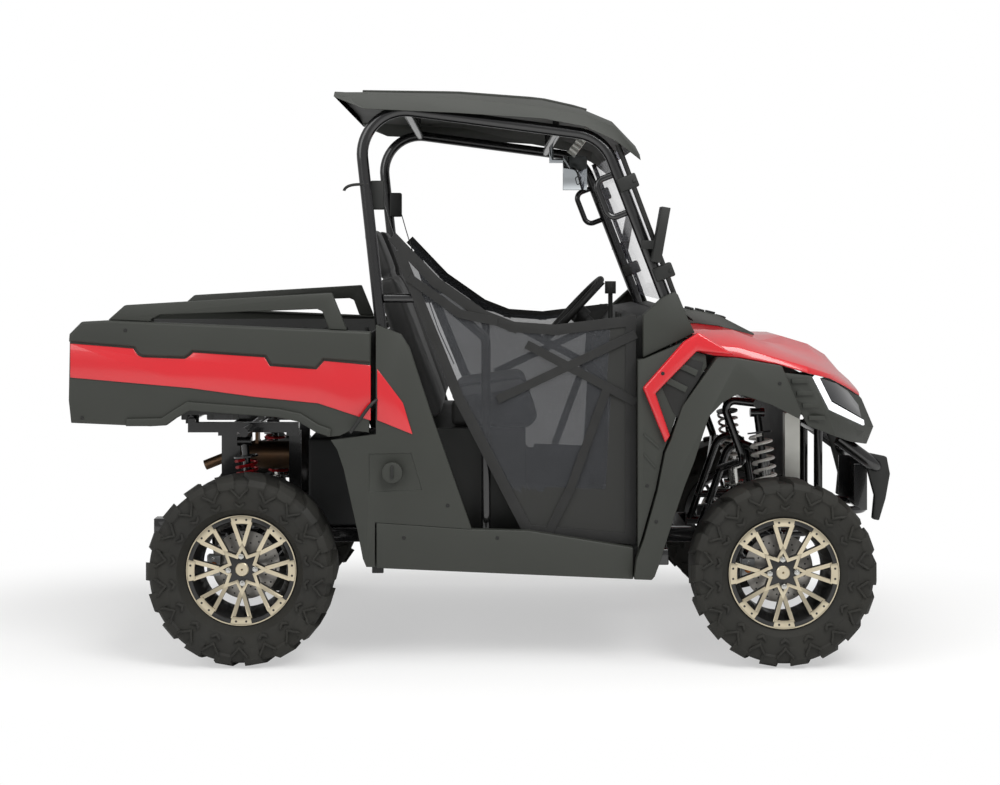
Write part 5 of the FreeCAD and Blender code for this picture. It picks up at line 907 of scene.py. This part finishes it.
def buildCab(label, side):
    reel = zip(cab["reelX"], sorted(side * y for y in cab["reelY"]), cab["reelZ"])
    settle(block(*reel, 0.006, 3), f"belt_reel.{label}", "blackPlastic")
    tape = belt(cab["beltPath"], side, cab["beltWidth"], cab["beltThick"])
    settle(tape, f"belt.{label}", "nylonTape", "root", 50)
    hook = pipe([(x, side * cab["hookPlane"], z) for x, z in cab["hook"]], 0.005)
    settle(hook, f"net_hook.{label}", "softRubber")
    settle(pipe([(x, side * y, z) for x, y, z in cab["lever"]], 0.006), f"bed_lever.{label}", "blackPlastic")


tub = {"ribs": 9, "ribHalf": 0.011, "rise": 0.005, "from": -1.38, "to": -0.48, "spread": 1.0,
       "wallRibs": 10, "wallFrom": -1.32, "wallPitch": 0.088, "wallFoot": 0.84, "wallTop": 1.10}


def buildTub():
    ribs = []
    floor, half = part("bed_tub"), tub["ribHalf"]
    for n in range(tub["ribs"]):
        y = tub["spread"] * (n / (tub["ribs"] - 1) - 0.5)
        ribs.append(ridge(floor, [(tub["from"], y), (tub["to"], y)], "top", half * 2, tub["rise"], 4))
    for n in range(tub["wallRibs"]):
        x = tub["wallFrom"] + n * tub["wallPitch"]
        for side in (-1, 1):
            place = hitOn(floor, (x, 0, 0.98), (0, side, 0))
            if place:
                near, far = sorted((place.y + side * 0.002, place.y - side * 0.006))
                ribs.append(block((x - half, near, tub["wallFoot"]), (x + half, far, tub["wallTop"]), 0.003))
    settle(join(ribs), "tub_ribs", "blackPlastic", "bed")


gate = {"handle": [(-1.444, -0.10, 1.045), (-1.468, -0.085, 1.045), (-1.468, 0.085, 1.045), (-1.444, 0.10, 1.045)],
        "latch": 0.535, "latchHalf": 0.018, "latchFoot": 1.02, "latchTop": 1.085, "bolts": (1.036, 1.070)}


def buildGate():
    settle(pipe(gate["handle"], 0.007), "gate_handle", "blackPlastic", "gate")
    latches = []
    for side in (-1, 1):
        y = side * gate["latch"]
        latches.append(block((-1.453, y - gate["latchHalf"], gate["latchFoot"]),
                             (-1.444, y + gate["latchHalf"], gate["latchTop"]), 0.002))
        latches += [disc((-1.452, y, z), 0.007, -0.004, "X", 0.3, 14) for z in gate["bolts"]]
    settle(join(latches), "gate_latches", "zincPlate", "gate")


roofRibs = {"from": -0.46, "to": 0.34, "rows": (-0.42, -0.21, 0.0, 0.21, 0.42), "width": 0.05, "rise": 0.006}
lidSlats = {"rows": (0.76, 0.80, 0.84, 0.88), "half": 0.10, "width": 0.012, "rise": 0.004}


def buildRoof():
    low, high, width, rise = roofRibs["from"], roofRibs["to"], roofRibs["width"], roofRibs["rise"]
    ribs = [ridge(part("roof"), [(low, y), (high, y)], "top", width, rise, 16) for y in roofRibs["rows"]]
    settle(join(ribs), "roof_ribs", "grainedPlastic", "root")
    half, width, rise = lidSlats["half"], lidSlats["width"], lidSlats["rise"]
    slats = [ridge(part("hood_lid"), [(x, -half), (x, half)], "top", width, rise, 6) for x in lidSlats["rows"]]
    settle(join(slats), "lid_slats", "blackPlastic")


controls = {"gauge": (0.31, 1.225), "gaugeRadius": 0.046, "keyHalf": (0.014, 0.018),
            "switches": [(-0.02, 1.17), (0.03, 1.17), (0.08, 1.17), (-0.02, 1.12), (0.03, 1.12)],
            "box": (-0.42, -0.12, 1.04, 1.17), "pedals": [(0.26, 0.46), (0.37, 0.46)], "pedalLean": 0.5, "treads": 4}


def buildControls():
    dash = part("dash")
    y, z = controls["gauge"]
    radius = controls["gaugeRadius"]
    place = hitOn(dash, (0.0, y, z), (1, 0, 0))
    if place:
        profile = [(radius - 0.006, -0.004), (radius - 0.004, -0.010), (radius, -0.008), (radius + 0.003, 0.002)]
        settle(spinProfile(profile, (place.x, y, z), "X", 40), "gauge_ring", "blackPlastic")
        glass = disc((place.x, y, z), radius - 0.005, -0.006, "X", 0.05, 40)
        settle(glass, "gauge_glass", "smokedLens")
    keys = []
    wide, high = controls["keyHalf"]
    for y, z in controls["switches"]:
        place = hitOn(dash, (0.0, y, z), (1, 0, 0))
        if place:
            x = place.x
            keys.append(block((x - 0.008, y - wide, z - high), (x + 0.004, y + wide, z + high), 0.003))
    # the glove box with its grip
    left, right, foot, top = controls["box"]
    y = (left + right) / 2
    place = hitOn(dash, (0.0, y, (foot + top) / 2), (1, 0, 0))
    if place:
        x = place.x
        keys.append(block((x - 0.006, left, foot), (x + 0.006, right, top), 0.004))
        keys.append(block((x - 0.014, y - 0.04, top - 0.03), (x - 0.004, y + 0.04, top - 0.018), 0.003))
    if keys:
        settle(join(keys), "dash_switches", "blackPlastic")
    pads = []
    lean = controls["pedalLean"]
    for y, z in controls["pedals"]:
        pads.append(leaned((0.50, y, z), (0.012, 0.060, 0.085), lean, 0.003))
        pads.append(pipe([(0.505, y, z + 0.01), (0.56, y, z + 0.16), (0.58, y, 0.93)], 0.008))
        for n in range(controls["treads"]):
            place = (0.47975 + 0.0055 * n, y, z - 0.028 + 0.019 * n)
            pads.append(leaned(place, (0.006, 0.052, 0.006), lean, 0.001))
    settle(join(pads), "pedals", "powderCoat", "root")


# The dark plates behind the panel seams stand for shade there: painted shade.
driveline = {"boots": [(0.996, 0.322, 0.425, 0.505), (0.996, 0.322, 0.17, 0.235), (-0.856, 0.328, 0.405, 0.485),
                       (-0.856, 0.328, 0.17, 0.235)], "pleats": 5, "thin": 0.019, "wide": 0.034, "fold": 0.72,
             "shade_backings": [(0.580, 0.664, 0.672, 0.850, 0.150, 0.190), (0.470, 0.642, 0.654, 0.305, 0.050, 0.130),
                        (-0.412, 0.642, 0.654, 0.310, 0.040, 0.140), (1.035, 0.598, 0.610, 0.955, 0.085, 0.045)],
             "hose": [(-0.965, 0.575, 0.362), (-0.985, 0.54, 0.44), (-0.97, 0.47, 0.50), (-0.93, 0.40, 0.50)],
             "shaft": 0.012, "hoseRadius": 0.005, "bumperPlane": 0.300, "bumperThick": 0.030,
             "bumperEnd": [(1.352, 0.690), (1.440, 0.672), (1.452, 0.610), (1.436, 0.520), (1.412, 0.440),
                           (1.388, 0.445), (1.396, 0.530), (1.372, 0.620)]}


def buildUnderside(label, side):
    boots = []
    folds, shaft, thin = driveline["pleats"] * 2, driveline["shaft"], driveline["thin"]
    for x, z, near, far in driveline["boots"]:
        profile = [(shaft, side * near)]
        for n in range(folds + 1):
            share = n / folds
            rise = (driveline["wide"] - thin) * share * (1.0 if n % 2 else driveline["fold"])
            profile.append((thin + rise, side * (near + (far - near) * share)))
        boots.append(spinProfile(profile + [(shaft, side * far)], (x, 0, z), "Y", 28))
    settle(join(boots), f"axle_boots.{label}", "softRubber")
    # dark backing plates behind the seams between the panels: painted shade, standing for the shade seen through the
    # gaps
    shade_backings = []
    for x, a, b, z, wide, high in driveline["shade_backings"]:
        near, far = sorted((side * a, side * b))
        shade_backings.append(block((x, near, z), (x + wide, far, z + high), 0.003))
    settle(join(shade_backings), f"seam_shade_backings.{label}", "blackPlastic")
    hose = pipe([(x, side * y, z) for x, y, z in driveline["hose"]], driveline["hoseRadius"])
    settle(hose, f"brake_hose.{label}", "softRubber")
    plane, thick = driveline["bumperPlane"], driveline["bumperThick"]
    end = flatPlate(driveline["bumperEnd"], side * plane, side * thick, 0.004)
    settle(end, f"bumper_end.{label}", "blackPlastic")


for label, side in (("right", -1), ("left", 1)):
    buildPillarTrim(label, side)
    buildFasteners(label, side)
    buildCab(label, side)
    buildUnderside(label, side)
for label, spec in wheels.items():
    buildBrake(label, spec)
buildTub()
buildGate()
buildRoof()
buildControls()
bracket = {"path": [(0.375, 1.886), (0.305, 1.790)], "width": 0.034, "thick": 0.003, "plane": 0.012}
gripCorners = ((-0.343, -0.731, 0.645), (-0.335, -0.721, 0.691))
piece = strap(bracket["path"], bracket["width"], bracket["thick"], bracket["plane"], -1)
settle(piece, "mirror_bracket", "rolledAluminium")
settle(block(*gripCorners, 0.002), "filler_grip", "blackPlastic")
print("trim ready")
